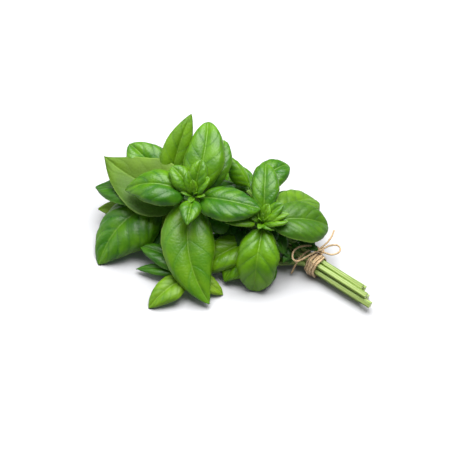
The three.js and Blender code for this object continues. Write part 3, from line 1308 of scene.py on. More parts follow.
@dataclass(frozen=True)
class Leaf:
    """One leaf, by where it grows, how its chord runs and how its blade is bent.

    Sizes are in millimetres and angles in degrees. The chord runs from the leaf's base to its tip.
    """

    node: float  # where it grows, as a share of its stem's length
    heading: float  # which way its chord runs, from +X towards +Y
    pitch: float  # how steeply its chord rises
    length: float  # from its base to its tip
    width: float  # across its widest part
    petiole: float = 3  # the length of its stalk
    arch: float = 6  # how far it bows up from its chord
    sweep: float = 0  # how far it bows to the side
    roll: float = 0  # how far it is turned about its chord
    fold: float = 26  # how steeply both halves rise from the midrib
    cup: float = 66  # how far each half bends down again towards the rim
    point: float = 0.8  # how pointed its tip is
    tone: Tone = Tone.UPPER  # how old it is, and whether its colours carry painted shade
    veins: float = 5  # how many side veins each half has
    pucker: float = 1.0  # how much its skin puffs up between them
    curl: float = 1.6  # how far its rim curls under
    tint: float = 0.0  # how much lighter than others of its tone it is, partly its own tint and partly painted light or shade
    age: float = 0.0  # how yellow it is
    shy: float = 0.0  # how much darker the half is that turns away from the light

    def half_width(self, share: np.ndarray) -> np.ndarray:
        """Work out half the blade's width.

        Args:
            share: Shares of the way from the blade's base to its tip.

        Returns:
            The half widths.
        """
        widest = FORM.roundness / (FORM.roundness + self.point)
        most = widest**FORM.roundness * (1 - widest) ** self.point
        shape = share**FORM.roundness * np.clip(1 - share, 0, 1) ** self.point
        return self.width / 2 * shape / most

    def spine(self, stem: "Stem", clear: float, rows: int) -> tuple[np.ndarray, ...]:
        """Lay out the midrib, with a short foot that runs into the stem.

        Args:
            stem: The stem that carries the leaf.
            clear: How far the base stands from the stem's axis.
            rows: How many sections lie between the base and the tip.

        Returns:
            Shares of the chord, centres, tangents and side vectors, one a section.
        """
        along = towards(self.heading, self.pitch)
        tangent = stem.route.heading(self.node)
        outward = unit(along - tangent * float(along @ tangent))
        axis = stem.route.at(self.node)
        base = axis + outward * clear
        tip = base + along * self.length
        side = turned(unit(np.cross(along, UP)), along, self.roll)
        up = np.cross(side, along)
        shoulder = (base + tip) / 2 + up * 2 * self.arch + side * 2 * self.sweep
        share = np.linspace(0, 1, rows)[:, None]
        centres = (1 - share) ** 2 * base + 2 * share * (1 - share) * shoulder + share**2 * tip
        tangents = unit((1 - share) * (shoulder - base) + share * (tip - shoulder))
        feet = np.array(FORM.feet)[:, None]
        foot_tangents = unit(outward * (1 - feet) + tangents[0] * feet)
        shares = np.concatenate([np.full(len(feet), FORM.foot_share), share[:, 0]])
        centres = np.vstack([axis + outward * clear * feet, centres])
        tangents = np.vstack([foot_tangents, tangents])
        across = unit(side - tangents * (tangents @ side)[:, None])
        return shares, centres, tangents, across

    def grid(self, shares: np.ndarray, columns: int, seed: int) -> BladeGrid:
        """Lay out the points of the leaf's sheet.

        Args:
            shares: Shares of the way along the chord, one a section.
            columns: How many columns half a blade has.
            seed: What makes this leaf its own.

        Returns:
            The grid.
        """
        plain = (shares * self.length - self.petiole) / (self.length - self.petiole)
        blade = np.clip(plain, 0, 1)[:, None]
        fraction = np.linspace(-1, 1, 2 * columns + 1)
        span = FORM.columns_across(fraction)
        reach = np.abs(span)
        half = self.half_width(blade)
        slant = half.max() / self.length
        far, sharp = FORM.vein_shift
        shift = far * np.tanh(span * sharp) * math.sin(seed)
        lead, bend = FORM.vein_curve
        phase = self.veins * (blade - slant * (lead * reach + bend * reach**2))
        phase = phase + FORM.first_gap + shift
        stalk = FORM.stalk_radius(self.width)
        return BladeGrid(shares, fraction, blade, span, half, phase, stalk, seed)

    def sheet(self, grid: BladeGrid) -> tuple[np.ndarray, np.ndarray, np.ndarray, np.ndarray]:
        """Bend the blade across its width: folded at the midrib and cupped towards the rim.

        Args:
            grid: The leaf's points.

        Returns:
            The places across and above the midrib, and the way that the sheet faces there.
        """
        fold, cup = math.radians(self.fold), math.radians(self.cup)
        slope = fold - cup * grid.reach
        spread = cup / (math.sin(fold) - math.sin(fold - cup))
        outline = FORM.outline(grid, self.veins)
        out = np.sign(grid.span) * grid.half * spread / cup * (math.sin(fold) - np.sin(slope))
        rise = grid.half * spread / cup * (np.cos(slope) - math.cos(fold))
        return out * outline, rise, -np.sign(grid.span) * np.sin(slope), np.cos(slope)

    def grow(self, skin: Skin, stem: "Stem", seed: int, clear: float | None = None) -> None:
        """Add the leaf to a skin as a thin closed blade with its veins and stalk.

        Args:
            skin: The skin that takes it.
            stem: The stem that carries it.
            seed: What makes this leaf its own.
            clear: How far its base stands from the stem's axis, if not clear of the stem.
        """
        size = math.sqrt(self.length * self.width)
        if clear is None:
            clear = stem.radius(self.node) + FORM.stalk_most + FORM.clearance
        rows = FORM.count(size, FORM.rows)
        shares, centres, tangents, across = self.spine(stem, clear, rows)
        above = np.cross(across, tangents)
        grid = self.grid(shares, FORM.count(size, FORM.columns), seed)
        out, rise, lean_out, lean_rise = self.sheet(grid)
        relief = FORM.relief(grid, self)
        lift, hang = FORM.thickness(grid, self)
        round_x, round_z, opened = FORM.stalk_section(grid)
        faces = []
        for height, sign in ((relief + lift, 1), (relief - hang, -1)):
            local_x = (out + lean_out * height) * opened + round_x * (1 - opened)
            local_z = (rise + lean_rise * height) * opened + sign * round_z * (1 - opened)
            faces.append(
                centres[:, None]
                + across[:, None] * local_x[..., None]
                + above[:, None] * local_z[..., None]
            )
        upper, under = faces
        sunk = np.clip(FLOOR_GAP - np.minimum(upper, under)[..., 2], 0, None)
        upper[..., 2] += sunk
        under[..., 2] += sunk
        rings = np.concatenate([upper, under[:, -2:0:-1]], 1)
        columns = grid.span.size
        order = np.concatenate([np.arange(columns), np.arange(columns - 2, -1, -1)])
        finishes = np.where(np.arange(len(order) - 1) < columns - 1, 0, 1)
        skin.tube(rings, finishes, self.charts(grid, order))

    def charts(self, grid: BladeGrid, order: np.ndarray) -> dict[str, np.ndarray]:
        """Draw the leaf's maps.

        Args:
            grid: The leaf's points.
            order: The columns in the order in which they go round the leaf.

        Returns:
            The blade's map in centimetres, the map of its side veins, and that of its tint with its
            painted light and shade.
        """
        seed_shift = 1.37  # centimetres between the grain of one leaf and the next
        place_x = grid.shares[:, None] * self.length / CHART_UNIT + grid.seed * seed_shift
        place_y = grid.span * np.maximum(grid.half, grid.stalk) / CHART_UNIT
        shade = smooth(grid.span, *FORM.shy_side) * smooth(grid.blade, *FORM.shy_end)
        shade = self.shy * shade
        maps = {
            "blade": paired(place_x, place_y),
            "veins": paired(grid.phase, grid.span),
            "tint": paired(self.tint - shade, self.age * (1 - FORM.shy_fade * shade)),
        }
        return {name: pairs[:, order] for name, pairs in maps.items()}

    def materials(self, palette: Palette) -> list[bpy.types.Material]:
        """Give the leaf's upper and under materials.

        Args:
            palette: Where materials are made.

        Returns:
            The two materials.
        """
        faces = ((LeafFinish, UPPER_SHADES), (UndersideFinish, UNDER_SHADES))
        return [palette.of(kind.shaded(*shades[self.tone])) for kind, shades in faces]


def deep_leaf(node: float, heading: float, pitch: float, length: float, width: float) -> Leaf:
    """Shape one of the small leaves that fill the inside of the bunch, darkened with painted shade.

    Args:
        node: Where it grows, as a share of its stem's length.
        heading: Which way it grows, in degrees.
        pitch: How steeply it rises, in degrees.
        length: Its length in millimetres.
        width: Its width in millimetres.

    Returns:
        The leaf.
    """
    return Leaf(node, heading, pitch, length, width, arch=3, tone=Tone.SHADED, tint=-0.6)


# ------------------------------------------------------------------ stems

TIE = (63.0, 29.0, 9.3)  # the middle of the tie
STRAIGHT = (12.0, 0.0, -8.0)  # where a stem runs straight, along X from the tie
CUT_DROP = 2.2  # how far a stem sinks from the tie to its cut end
STEM_PITCH = 5.1  # between the axes of two stems in the tie
STEM_RADIUS = 2.4
STEM_END = 1.0  # the share of a stem's length at which it ends
Profile = tuple[tuple[float, float], ...]  # shares of a ring, and how far forward each lies


class StemEnd(Enum):
    """An end of a stem, by the material index of what it wears."""

    TIP = 0
    CUT = 1


@dataclass
class Stem:
    """A square, grooved stem that runs from its cut end through the tie to its tip."""

    row: int  # its row in the tie, counted from the floor
    column: int  # how many half pitches it lies beside the middle of the tie
    cut: float  # how far its cut end is from the tie
    onward: list[Point]  # the points that it runs through beyond the tie
    # where leaves grow on it, as shares of its length
    swellings: list[float] = field(default_factory=list)
    tip_radius: float = 1.3
    sides: int = 32
    step: float = 1.3
    corners: int = 4
    squareness: float = 0.055
    groove: float = 0.09  # how deep the grooves between its corners are, as a share of its radius
    groove_width: float = 0.24  # how wide they are, in radians
    plumpness: float = 1.12  # how much its skin stands out beyond the plain radius
    # how much thicker it is where leaves grow, as a share and over what length
    swelling: Pair = (0.14, 2.6)
    # how far it starts turned, and how much it turns on the way, in radians
    twist: Pair = (0.5, 0.6)
    # the rounded rim and the sunken pith of its cut end
    cut_profile: Profile = (
        (1.0, 0.0), (0.94, -0.12), (0.8, -0.16), (0.5, -0.02), (0.2, 0.14), (0.03, 0.16),
    )
    # the low dome of its tip
    tip_profile: Profile = ((1.0, 0.0), (0.85, 0.25), (0.55, 0.5), (0.15, 0.62))
    route: Route = field(init=False)

    def __post_init__(self) -> None:
        """Draw the stem's line."""
        row_pitch = STEM_PITCH * math.sqrt(3) / 2
        spot = np.array([0, self.column * STEM_PITCH / 2, (self.row - 1) * row_pitch])
        middle = np.array(TIE) + spot
        straight = [
            middle + np.array([along, 0, -CUT_DROP * along / self.cut])
            for along in (self.cut, *STRAIGHT)
        ]
        self.route = Route(np.vstack([straight, np.array(self.onward, float)]))

    def radius(self, share: float | np.ndarray) -> float | np.ndarray:
        """Work out the stem's plain radius at a share of its length."""
        return STEM_RADIUS + (self.tip_radius - STEM_RADIUS) * share

    def build(self, name: str, palette: Palette) -> bpy.types.Object:
        """Build and dress the stem.

        Args:
            name: The stem's CAD node.
            palette: Where materials are made.

        Returns:
            The new piece.
        """
        line = self.route.spaced(self.step)
        shares = np.linspace(0, 1, len(line))
        swell = np.ones(len(line))
        for node in self.swellings:
            swell += self.swelling[0] * ridge((shares - node) * self.route.length, self.swelling[1])
        turn = np.linspace(0, FULL_TURN, self.sides + 1)
        side = FULL_TURN / self.corners
        from_groove = np.mod(turn[None, :], side) - side / 2
        section = 1 + self.squareness * np.cos(self.corners * turn[None, :])
        section = section - self.groove * ridge(from_groove, self.groove_width)
        radii = self.plumpness * self.radius(shares)[:, None] * swell[:, None] * section
        twist = self.twist[0] * np.sin(seed_of(name)) + self.twist[1] * shares[:, None]
        rings, _ = swept(line, radii, turn[None, :] + twist)
        rings[..., 2] = np.maximum(rings[..., 2], FLOOR_GAP)
        along = shares * self.route.length / CHART_UNIT
        chart = paired(turn[None, :] / FULL_TURN, along[:, None])
        skin = Skin(("skin",))
        skin.tube(rings, 0, {"skin": chart}, capped=False)
        flat = np.stack([np.cos(turn), np.sin(turn)], -1)
        pith = np.array([flat * share for share, _ in self.cut_profile])
        self._close(skin, rings[0], StemEnd.CUT, self.cut_profile, pith)
        tip = np.broadcast_to(chart[-1], (len(self.tip_profile), *chart[-1].shape))
        self._close(skin, rings[-1], StemEnd.TIP, self.tip_profile, tip)
        materials = [palette.of(StemFinish()), palette.of(PithFinish())]
        piece = skin.piece(f"{name}_skin", "stem", materials)
        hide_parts(name)
        return piece

    def _close(
        self, skin: Skin, rim: np.ndarray, end: StemEnd, profile: Profile, chart: np.ndarray
    ) -> None:
        """Close the cut end, which wears the pith, or the tip, which wears the skin.

        Args:
            skin: The stem's skin.
            rim: The ring at that end.
            end: Which end it is.
            profile: The shape of the end.
            chart: The map of the end.
        """
        cut = end is StemEnd.CUT
        forward = self.route.heading(0.0 if cut else STEM_END)
        middle = rim.mean(axis=0)
        rings = np.array([middle + (rim - middle) * share + forward * by for share, by in profile])
        skin.tube(rings, end.value, {"skin": chart}, capped=False, inward=cut)
        skin.lid(rings[-1], end.value, "skin", np.zeros(2) if cut else chart[0, 0], inward=cut)


@dataclass
class Bud:
    """The terminal bud of a sprig, with the whorl of small crinkled leaves round it."""

    # the heading, pitch, length and width of each leaf
    sizes: tuple[tuple[float, float, float, float], ...]
    closed_length: float = 12.5  # leaves up to this length are still in the bud
    clear: float = 0.7  # how far the leaves start from the stem's axis
    petiole: float = 0.8
    slimness: float = 12  # how many times their arch their length is
    fold: float = 30
    cup: float = 56
    point: float = 0.6
    veins: float = 4
    pucker: float = 2.2
    tint: float = 0.3

    def leaf(self, heading: float, pitch: float, length: float, width: float) -> Leaf:
        """Shape one leaf of the whorl.

        Args:
            heading: Which way it grows, in degrees.
            pitch: How steeply it rises, in degrees.
            length: Its length in millimetres.
            width: Its width in millimetres.

        Returns:
            The leaf.
        """
        arch = length / self.slimness
        return Leaf(
            *(STEM_END, heading, pitch, length, width, self.petiole, arch),
            fold=self.fold,
            cup=self.cup,
            point=self.point,
            veins=self.veins,
            pucker=self.pucker,
            tint=self.tint,
        )

    def build(self, name: str, stem: Stem, palette: Palette) -> list[bpy.types.Object]:
        """Build and dress the bud, and the whorl of young leaves that has opened round it.

        Args:
            name: The bud's CAD node.
            stem: The stem that ends in it.
            palette: Where materials are made.

        Returns:
            The whorl and the bud.
        """
        leaves = [self.leaf(*size) for size in self.sizes]
        opened = [leaf for leaf in leaves if leaf.length > self.closed_length]
        closed = [leaf for leaf in leaves if leaf.length <= self.closed_length]
        pieces = []
        for label, whorl in ((f"{name}_whorl", opened), (f"{name}_heart", closed)):
            skin = Skin(LEAF_CHARTS)
            for leaf in whorl:
                leaf.grow(skin, stem, seed_of(name) + int(leaf.heading), self.clear)
            pieces.append(skin.piece(label, "bud", whorl[0].materials(palette)))
        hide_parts(name)
        return pieces


@dataclass
class Sprig:
    """One stem of basil with all that grows on it."""

    name: str  # the sprig's letter
    stem: Stem
    leaves: dict[str, Leaf]  # its leaves by their places, each of which stands for a CAD node
    # the node, heading, pitch, length and width of each leaf deep inside, darkened with painted
    # shade
    fillers: tuple[tuple[float, ...], ...] = ()
    bud: Bud | None = None  # the bud at its tip, where it has one

    def build(self, palette: Palette) -> list[bpy.types.Object]:
        """Build and dress the stem, its leaves and its bud.

        Args:
            palette: Where materials are made.

        Returns:
            The new pieces.
        """
        self.stem.swellings = sorted({leaf.node for leaf in self.leaves.values()})
        pieces = [self.stem.build(f"stem_{self.name}", palette)]
        deep = {f"fill_{k}": deep_leaf(*sizes) for k, sizes in enumerate(self.fillers, 1)}
        for place, leaf in {**self.leaves, **deep}.items():
            name = f"leaf_{self.name}_{place}"
            skin = Skin(LEAF_CHARTS)
            leaf.grow(skin, self.stem, seed_of(name))
            piece = skin.piece(f"{name}_blade", leaf.tone.value, leaf.materials(palette))
            if place in self.leaves:
                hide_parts(name)
            pieces.append(piece)
        if self.bud:
            pieces.extend(self.bud.build(f"bud_{self.name}", self.stem, palette))
        return pieces


# ------------------------------------------------------------------ twine

ROPE_CHARTS = ("rope", "ply")
ROPE_CHART_UNIT = 2  # millimetres of twine to one unit of its map
ROPE_STEP = 0.45  # how far apart a twine's rings are, in millimetres


@dataclass(frozen=True)
class Fuzz:
    """The fibres that stand off a twine. Lengths are in millimetres."""

    often: float = 1.1  # how many stand off a millimetre of twine
    radius: float = 0.05  # how thick one is at its root
    taper: float = 0.6  # how much thinner it is at its end
    reach: Pair = (0.8, 2.6)  # the least and the most length
    lift: Pair = (0.15, 0.55)  # the least and the most rise, as a share of the length
    early: float = 0.8  # how early it rises
    bend: float = 0.125  # how far it wanders aside, as a share of the length
    joints: int = 5
    floor: float = 0.1  # how low it may hang
    spread: float = 40  # how far apart the fibres' places on the map are drawn
    shade: float = 0.3  # their place across the map

    def grow(
        self, skin: Skin, rings: np.ndarray, line: np.ndarray, tangents: np.ndarray, seed: int
    ) -> None:
        """Add the fibres of one twine.

        Args:
            skin: The skin that takes them.
            rings: The twine's rings.
            line: The middle of each ring.
            tangents: The direction of each ring.
            seed: What they are drawn from.
        """
        chance = np.random.default_rng(seed)
        sides = rings.shape[1]
        turn = np.linspace(0, FULL_TURN, 4)
        share = np.linspace(0, 1, self.joints)[:, None]
        shape = (self.joints, len(turn))
        for _ in range(int(len(line) * ROPE_STEP * self.often)):
            row = int(chance.integers(1, len(line) - 1))
            root = rings[row, int(chance.integers(sides))]
            outward = unit(root - line[row])
            forward = tangents[row] * chance.choice([-1.0, 1.0])
            reach = chance.uniform(*self.reach)
            lift = chance.uniform(*self.lift)
            bend = chance.normal(0, self.bend, 3)
            strand = root + forward * reach * share + outward * reach * lift * share**self.early
            strand = strand + bend * reach * share**2
            strand[:, 2] = np.maximum(strand[:, 2], self.floor)
            hair, _ = swept(strand, self.radius * (1 - self.taper * share), turn)
            along = np.broadcast_to(share + chance.uniform(0, self.spread), shape)
            charts = {"rope": paired(along, self.shade), "ply": paired(np.ones(shape), 0.0)}
            skin.tube(hair, 0, charts)


@dataclass(frozen=True)
class Rope:
    """A three-ply twine, swept along a line, with stray fibres. Lengths are in millimetres."""

    diameter: float = 1.5
    plies: int = 3
    lay: float = 4.6  # the length over which a ply goes round once
    sides: int = 18
    # its reach in the hollow between two plies, as a share of half the diameter
    core: float = 0.78
    bulge: float = 0.26  # how much more it reaches on a ply
    bulge_power: float = 0.6  # how flat the top of a ply is
    end: float = 1.2  # the length over which an end gets thinner
    end_size: float = 0.72  # how thick the end is, as a share
    fuzz: Fuzz = Fuzz()

    def along(self, skin: Skin, line: np.ndarray, seed: int) -> None:
        """Add the twine to a skin.

        Args:
            skin: The skin that takes it.
            line: The points of its middle, about a step apart.
            seed: What its stray fibres are drawn from.
        """
        gone = np.concatenate([[0], np.cumsum(np.linalg.norm(np.diff(line, axis=0), axis=1))])
        turn = np.linspace(0, FULL_TURN, self.sides + 1)
        ply = np.abs(np.cos(self.plies * turn / 2)) ** self.bulge_power
        whole = smooth(gone, 0, self.end) * smooth(gone, gone[-1], gone[-1] - self.end)
        swell = (self.end_size + (1 - self.end_size) * whole)[:, None]
        radii = (self.diameter / 2 * (self.core + self.bulge * ply))[None, :] * swell
        angles = turn[None, :] + (FULL_TURN * gone / self.lay)[:, None]
        rings, tangents = swept(line, radii, angles)
        charts = {
            "rope": paired(gone[:, None] / ROPE_CHART_UNIT, turn[None, :] / FULL_TURN),
            "ply": paired(np.broadcast_to(ply, radii.shape), 0.0),
        }
        skin.tube(rings, 0, charts)
        self.fuzz.grow(skin, rings, line, tangents, seed)

    def piece(self, name: str, line: np.ndarray, seed: int, palette: Palette) -> bpy.types.Object:
        """Build and dress one length of twine.

        Args:
            name: The piece's name.
            line: The points of its middle, about a step apart.
            seed: What its stray fibres are drawn from.
            palette: Where materials are made.

        Returns:
            The new piece.
        """
        skin = Skin(ROPE_CHARTS)
        self.along(skin, line, seed)
        return skin.piece(name, "twine", [palette.of(TwineFinish())])


@dataclass
class FreeEnd:
    """One length of twine that leaves the knot as a loop and ends as a tail."""

    name: str
    points: list[Point]  # the points that it runs through, in millimetres
    length: float  # its length from the knot to its bare end, in millimetres
    nodes: tuple[str, ...]  # the CAD nodes that it stands for

    def build(self, rope: Rope, exit_point: Point, palette: Palette) -> bpy.types.Object:
        """Args:
            rope: How the twine is made.
            exit_point: Where it leaves the knot, in millimetres; not used.
            palette: Where materials are made.

        Returns:
            The new piece.
        """
        line = Route(self.points).spaced(ROPE_STEP)
        piece = rope.piece(self.name, line, seed_of(self.name), palette)
        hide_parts(*self.nodes)
        tuple(np.array(exit_point) * MM)
        return piece


@dataclass
class TwineTie:
    """The twine that holds the bunch: its turns, its knot and its bow.

    Lengths are in millimetres and angles in radians.
    """

    rope: Rope = field(default_factory=Rope)
    turns: int = 6
    half_length: float = 5.25  # half the length of the row of turns
    back_turns: float = 2.5  # how many turns the second layer has
    back_share: float = 0.72  # how much of the row the second layer goes back over
    turn_points: int = 130  # how many points a turn is drawn with
    thinning: int = 4  # of how many of those points the final line takes one
    seat: float = 0.85  # how far the twine's middle lies off the stems
    second_layer: float = 1.1  # how much higher the second layer lies
    climb: float = 0.8  # half the angle over which the twine climbs onto it
    stray: float = 0.5  # how far the turns may leave the row
    # how far, how often and from where the turns wander along the row
    wobbles: tuple[Triple, ...] = ((0.28, 1.7, 0.6), (0.2, 3.1, 2.0))
    looseness: Pair = (0.12, 2.3)  # how far and how often they stand off
    lift: Pair = (1.2, 0.5)  # how far both ends rise into the knot, and over what angle
    knot: Point = (62.0, 35.5, 20.0)
    # the size of the knot along the stems, across them and outward
    knot_size: Triple = (8.4, 6.4, 4.6)
    knot_points: int = 160  # how many points the knot is drawn with

    def hull(self, angle: np.ndarray) -> np.ndarray:
        """Work out how far the bundle of stems reaches from its middle.

        Args:
            angle: Angles about the bundle, from +Y towards +Z.

        Returns:
            The distance to the line pulled tight round the stems.
        """
        sixth = math.pi / 3
        off_corner = np.abs(np.mod(angle + sixth / 2, sixth) - sixth / 2)
        flat = STEM_PITCH * math.cos(sixth / 2) + STEM_RADIUS
        straight = flat / np.cos(sixth / 2 - off_corner)
        inside = np.clip(STEM_RADIUS**2 - (STEM_PITCH * np.sin(off_corner)) ** 2, 0, None)
        corner = STEM_PITCH * np.cos(off_corner) + np.sqrt(inside)
        on_flat = flat * np.tan(sixth / 2 - off_corner) <= STEM_PITCH / 2
        return np.where(on_flat, straight, corner)

    def build_turns(self, palette: Palette) -> bpy.types.Object:
        """Build the turns: a close row of them, and a looser second layer back over it.

        Args:
            palette: Where materials are made.

        Returns:
            The new piece.
        """
        there = np.linspace(0, FULL_TURN * self.turns, self.turns * self.turn_points)
        back = np.linspace(0, FULL_TURN * self.back_turns, int(self.back_turns * self.turn_points))
        gone = np.concatenate([there, there[-1] + back[1:]])
        room = self.half_length - self.rope.diameter / 2
        place = -room + 2 * room * np.clip(gone / there[-1], 0, 1)
        ahead = np.clip((gone - there[-1]) / back[-1], 0, 1)
        place = place - 2 * room * smooth(ahead, 0, 1) * self.back_share
        wobble = sum(far * np.sin(gone * pace + start) for far, pace, start in self.wobbles)
        place = np.clip(place + wobble, -room - self.stray, room + self.stray)
        angle = gone + math.atan2(self.knot[2] - TIE[2], self.knot[1] - TIE[1])
        layer = smooth(gone, there[-1] - self.climb, there[-1] + self.climb)
        radius = self.hull(angle) + self.seat + self.second_layer * layer
        radius = radius + self.looseness[0] * np.sin(gone * self.looseness[1])
        rise, over = self.lift
        ends = smooth(gone, over, 0.0) + smooth(gone, gone[-1] - over, gone[-1])
        radius = radius + rise * ends
        line = np.stack(
            [TIE[0] + place, TIE[1] + radius * np.cos(angle), TIE[2] + radius * np.sin(angle)], 1
        )
        line[:, 2] = np.maximum(line[:, 2], self.rope.diameter / 2)
        line = Route(line[:: self.thinning]).spaced(ROPE_STEP)
        piece = self.rope.piece("twine_turns", line, seed_of("turns"), palette)
        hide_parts("twine_wrap")
        return piece

    def build_knot(self, palette: Palette) -> bpy.types.Object:
        """Build the knot: a crossing of short turns, pulled tight.

        Args:
            palette: Where materials are made.

        Returns:
            The new piece.
        """
        turn = np.linspace(0, FULL_TURN, self.knot_points)
        rounds = np.stack(
            [
                np.sin(turn) + 2 * np.sin(2 * turn),
                np.cos(turn) - 2 * np.cos(2 * turn),
                -np.sin(3 * turn),
            ],
            1,
        ) / np.array([3.0, 3.0, 1.0])
        room = (np.array(self.knot_size) - self.rope.diameter) / 2
        outward = unit(np.array([0, self.knot[1] - TIE[1], self.knot[2] - TIE[2]]))
        axes = np.array([ALONG, np.cross(outward, ALONG), outward])
        line = np.array(self.knot) + (rounds * room) @ axes
        line = Route(line[:: self.thinning]).spaced(ROPE_STEP)
        piece = self.rope.piece("twine_bow_knot", line, seed_of("knot"), palette)
        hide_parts("twine_knot")
        return piece

    def build_bow(self, palette: Palette) -> list[bpy.types.Object]:
        """Build the bow's two free lengths."""
        return [end.build(self.rope, self.knot, palette) for end in FREE_ENDS]


FREE_ENDS = (
    FreeEnd(
        "twine_bow_right",
        [
            (62.5, 37.0, 20.8),
            *((64, 40, 20.4), (65, 44, 19.6), (66.7, 47.7, 18.4), (69, 50.4, 17.2)),
            *((72, 50.2, 16.2), (73.4, 47.3, 15.6), (72.5, 43, 16.2), (70.4, 39.4, 17.2)),
            *((67.4, 37.4, 18.4), (62.0, 34.6, 20.4)),
            *((56.9, 32.4, 20.2), (54.9, 28.4, 20.4), (53.5, 24.4, 19)),
            *((52.1, 20.4, 15), (51.1, 17.4, 9), (50.7, 14, 3)),
        ],
        75,
        ("twine_loop_right", "twine_tail_left"),
    ),
    FreeEnd(
        "twine_bow_left",
        [
            (61.5, 36.0, 21.4),
            *((57, 35, 21.6), (52.8, 31, 23.4), (49.5, 25.5, 25), (48.6, 19.6, 25.6)),
            *((49.6, 15.4, 24.4), (52, 13.6, 22.2), (54.6, 15.4, 20.6), (56.6, 20, 20.4)),
            *((58.4, 26, 20.6), (59.6, 30.4, 20.2), (61.4, 35.6, 21.0)),
            *((62.8, 40.6, 22.4), (63.5, 44, 23.4), (63.6, 48, 24.6)),
            *((63, 51.4, 25.8), (62, 55, 27)),
        ],
        78,
        ("twine_loop_left", "twine_tail_up"),
    ),
)


# ------------------------------------------------------------------ studio


@dataclass(frozen=True)
class Lamp:
    """A square soft lamp."""

    name: str
    place: Point  # where it hangs, in millimetres
    size: float  # its side, in millimetres
    power: float  # its power in watts

    def hang(self, aim: Point) -> None:
        """Hang the lamp so that it faces a point.

        Args:
            aim: The point, in millimetres.
        """
        light = bpy.data.lights.new(self.name, "AREA")
        light.shape = "SQUARE"
        light.size = self.size * MM
        light.energy = self.power
        lamp = bpy.data.objects.new(self.name, light)
        lamp.location = Vector(self.place) * MM
        way = Vector(aim) * MM - lamp.location
        lamp.rotation_euler = way.to_track_quat("-Z", "Y").to_euler()
        bpy.context.collection.objects.link(lamp)


@dataclass
class Studio:
    """The pale floor, the soft light and the camera."""

    azimuth: float = 38  # how far the camera stands round from the front, in degrees
    elevation: float = 50  # how high it stands, in degrees
    distance: float = 900  # how far it stands from its aim, in millimetres
    lens: float = 90
    sensor: float = 36
    aim: Point = (-7, 3, 30)  # what the camera and the lamps face, in millimetres
    sight: Pair = (0.01, 20)  # the nearest and the farthest that the camera sees, in metres
    floor_side: float = 6000  # the side of the floor, in millimetres
    air: Colour = (0.94, 0.96, 1.0, 1.0)  # the colour of the room's soft light
    sky: float = 0.22
    lamps: tuple[Lamp, ...] = (
        Lamp("key_lamp", (-110, 320, 1250), 1200, 54),
        Lamp("side_lamp", (-700, -400, 500), 700, 3),
    )

    def build_floor(self, palette: Palette) -> None:
        """Build the floor just under the bunch.

        Args:
            palette: Where materials are made.
        """
        side = self.floor_side / 2 * MM
        mesh = bpy.data.meshes.new("floor")
        corners = [(-side, -side, 0), (side, -side, 0), (side, side, 0), (-side, side, 0)]
        mesh.from_pydata(corners, [], [(0, 1, 2, 3)])
        mesh.materials.append(palette.of(FloorFinish()))
        floor = bpy.data.objects.new("floor", mesh)
        bpy.context.collection.objects.link(floor)
        floor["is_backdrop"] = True

    def build_lights(self) -> None:
        """Hang the lamps and fill the room with soft light."""
        for lamp in self.lamps:
            lamp.hang(self.aim)
        world = bpy.data.worlds.new("studio_air")
        world.use_nodes = True
        background = world.node_tree.nodes["Background"]
        background.inputs["Color"].default_value = self.air
        background.inputs["Strength"].default_value = self.sky
        bpy.context.scene.world = world
        bpy.context.scene.view_settings.view_transform = "Standard"

    def build_camera(self) -> None:
        """Set the camera up and make it the scene's."""
        turn, rise = math.radians(self.azimuth), math.radians(self.elevation)
        level = math.cos(rise)
        back = Vector((math.sin(turn) * level, -math.cos(turn) * level, math.sin(rise)))
        data = bpy.data.cameras.new("camera")
        data.lens = self.lens
        data.sensor_width = self.sensor
        data.clip_start, data.clip_end = self.sight
        camera = bpy.data.objects.new("camera", data)
        camera.location = (Vector(self.aim) + back * self.distance) * MM
        camera.rotation_euler = (-back).to_track_quat("-Z", "Y").to_euler()
        bpy.context.collection.objects.link(camera)
        bpy.context.scene.camera = camera


# ------------------------------------------------------------------ the bunch

STEMS: dict[str, Stem] = {
    "a": Stem(2, -1, 50, [(22, 20, 24), (-18, 13, 31), (-38, 4, 43), (-32, -6, 56)]),
    "b": Stem(2, 1, 43, [(36, 26, 24), (22, 23, 33), (20, 14, 43)]),
    "c": Stem(1, 0, 47, [(22, 16, 15), (-23, 7, 19), (-58, 3, 27), (-64, -4, 36)]),
    "d": Stem(1, -2, 56, [(38, 14, 6), (14, -12, 6), (-12, -44, 11)]),
    "e": Stem(0, -1, 45, [(40, 20, 5), (24, 13, 11), (13, 11, 22)]),
    "f": Stem(1, 2, 44, [(32, 36, 12), (6, 42, 18), (-15, 42, 32)]),
    "g": Stem(0, 1, 49, [(38, 36, 5), (10, 50, 6), (-20, 60, 12)]),
}
BUDS: dict[str, Bud] = {
    "a": Bud(
        (
            *((110, 46, 29, 18), (150, 50, 20, 12), (66, 46, 20, 12), (135, 68, 14, 8)),
            *((-70, 20, 10, 6), (-140, 28, 11, 6), (10, 30, 11, 6), (-20, 62, 8, 4)),
            *((170, 60, 8, 4), (60, 70, 8, 4), (-80, 78, 6, 3), (100, 80, 6, 3)),
        )
    ),
    "b": Bud(
        (
            *((60, 40, 23, 15), (22, 22, 22, 14), (96, 52, 16, 11), (-8, 12, 13, 9)),
            *((-150, 30, 12, 6), (-70, 24, 10, 6), (150, 40, 12, 6), (30, 58, 10, 5)),
            *((-110, 60, 8, 4), (120, 66, 8, 4), (-20, 72, 6, 3), (70, 80, 6, 3)),
        )
    ),
}
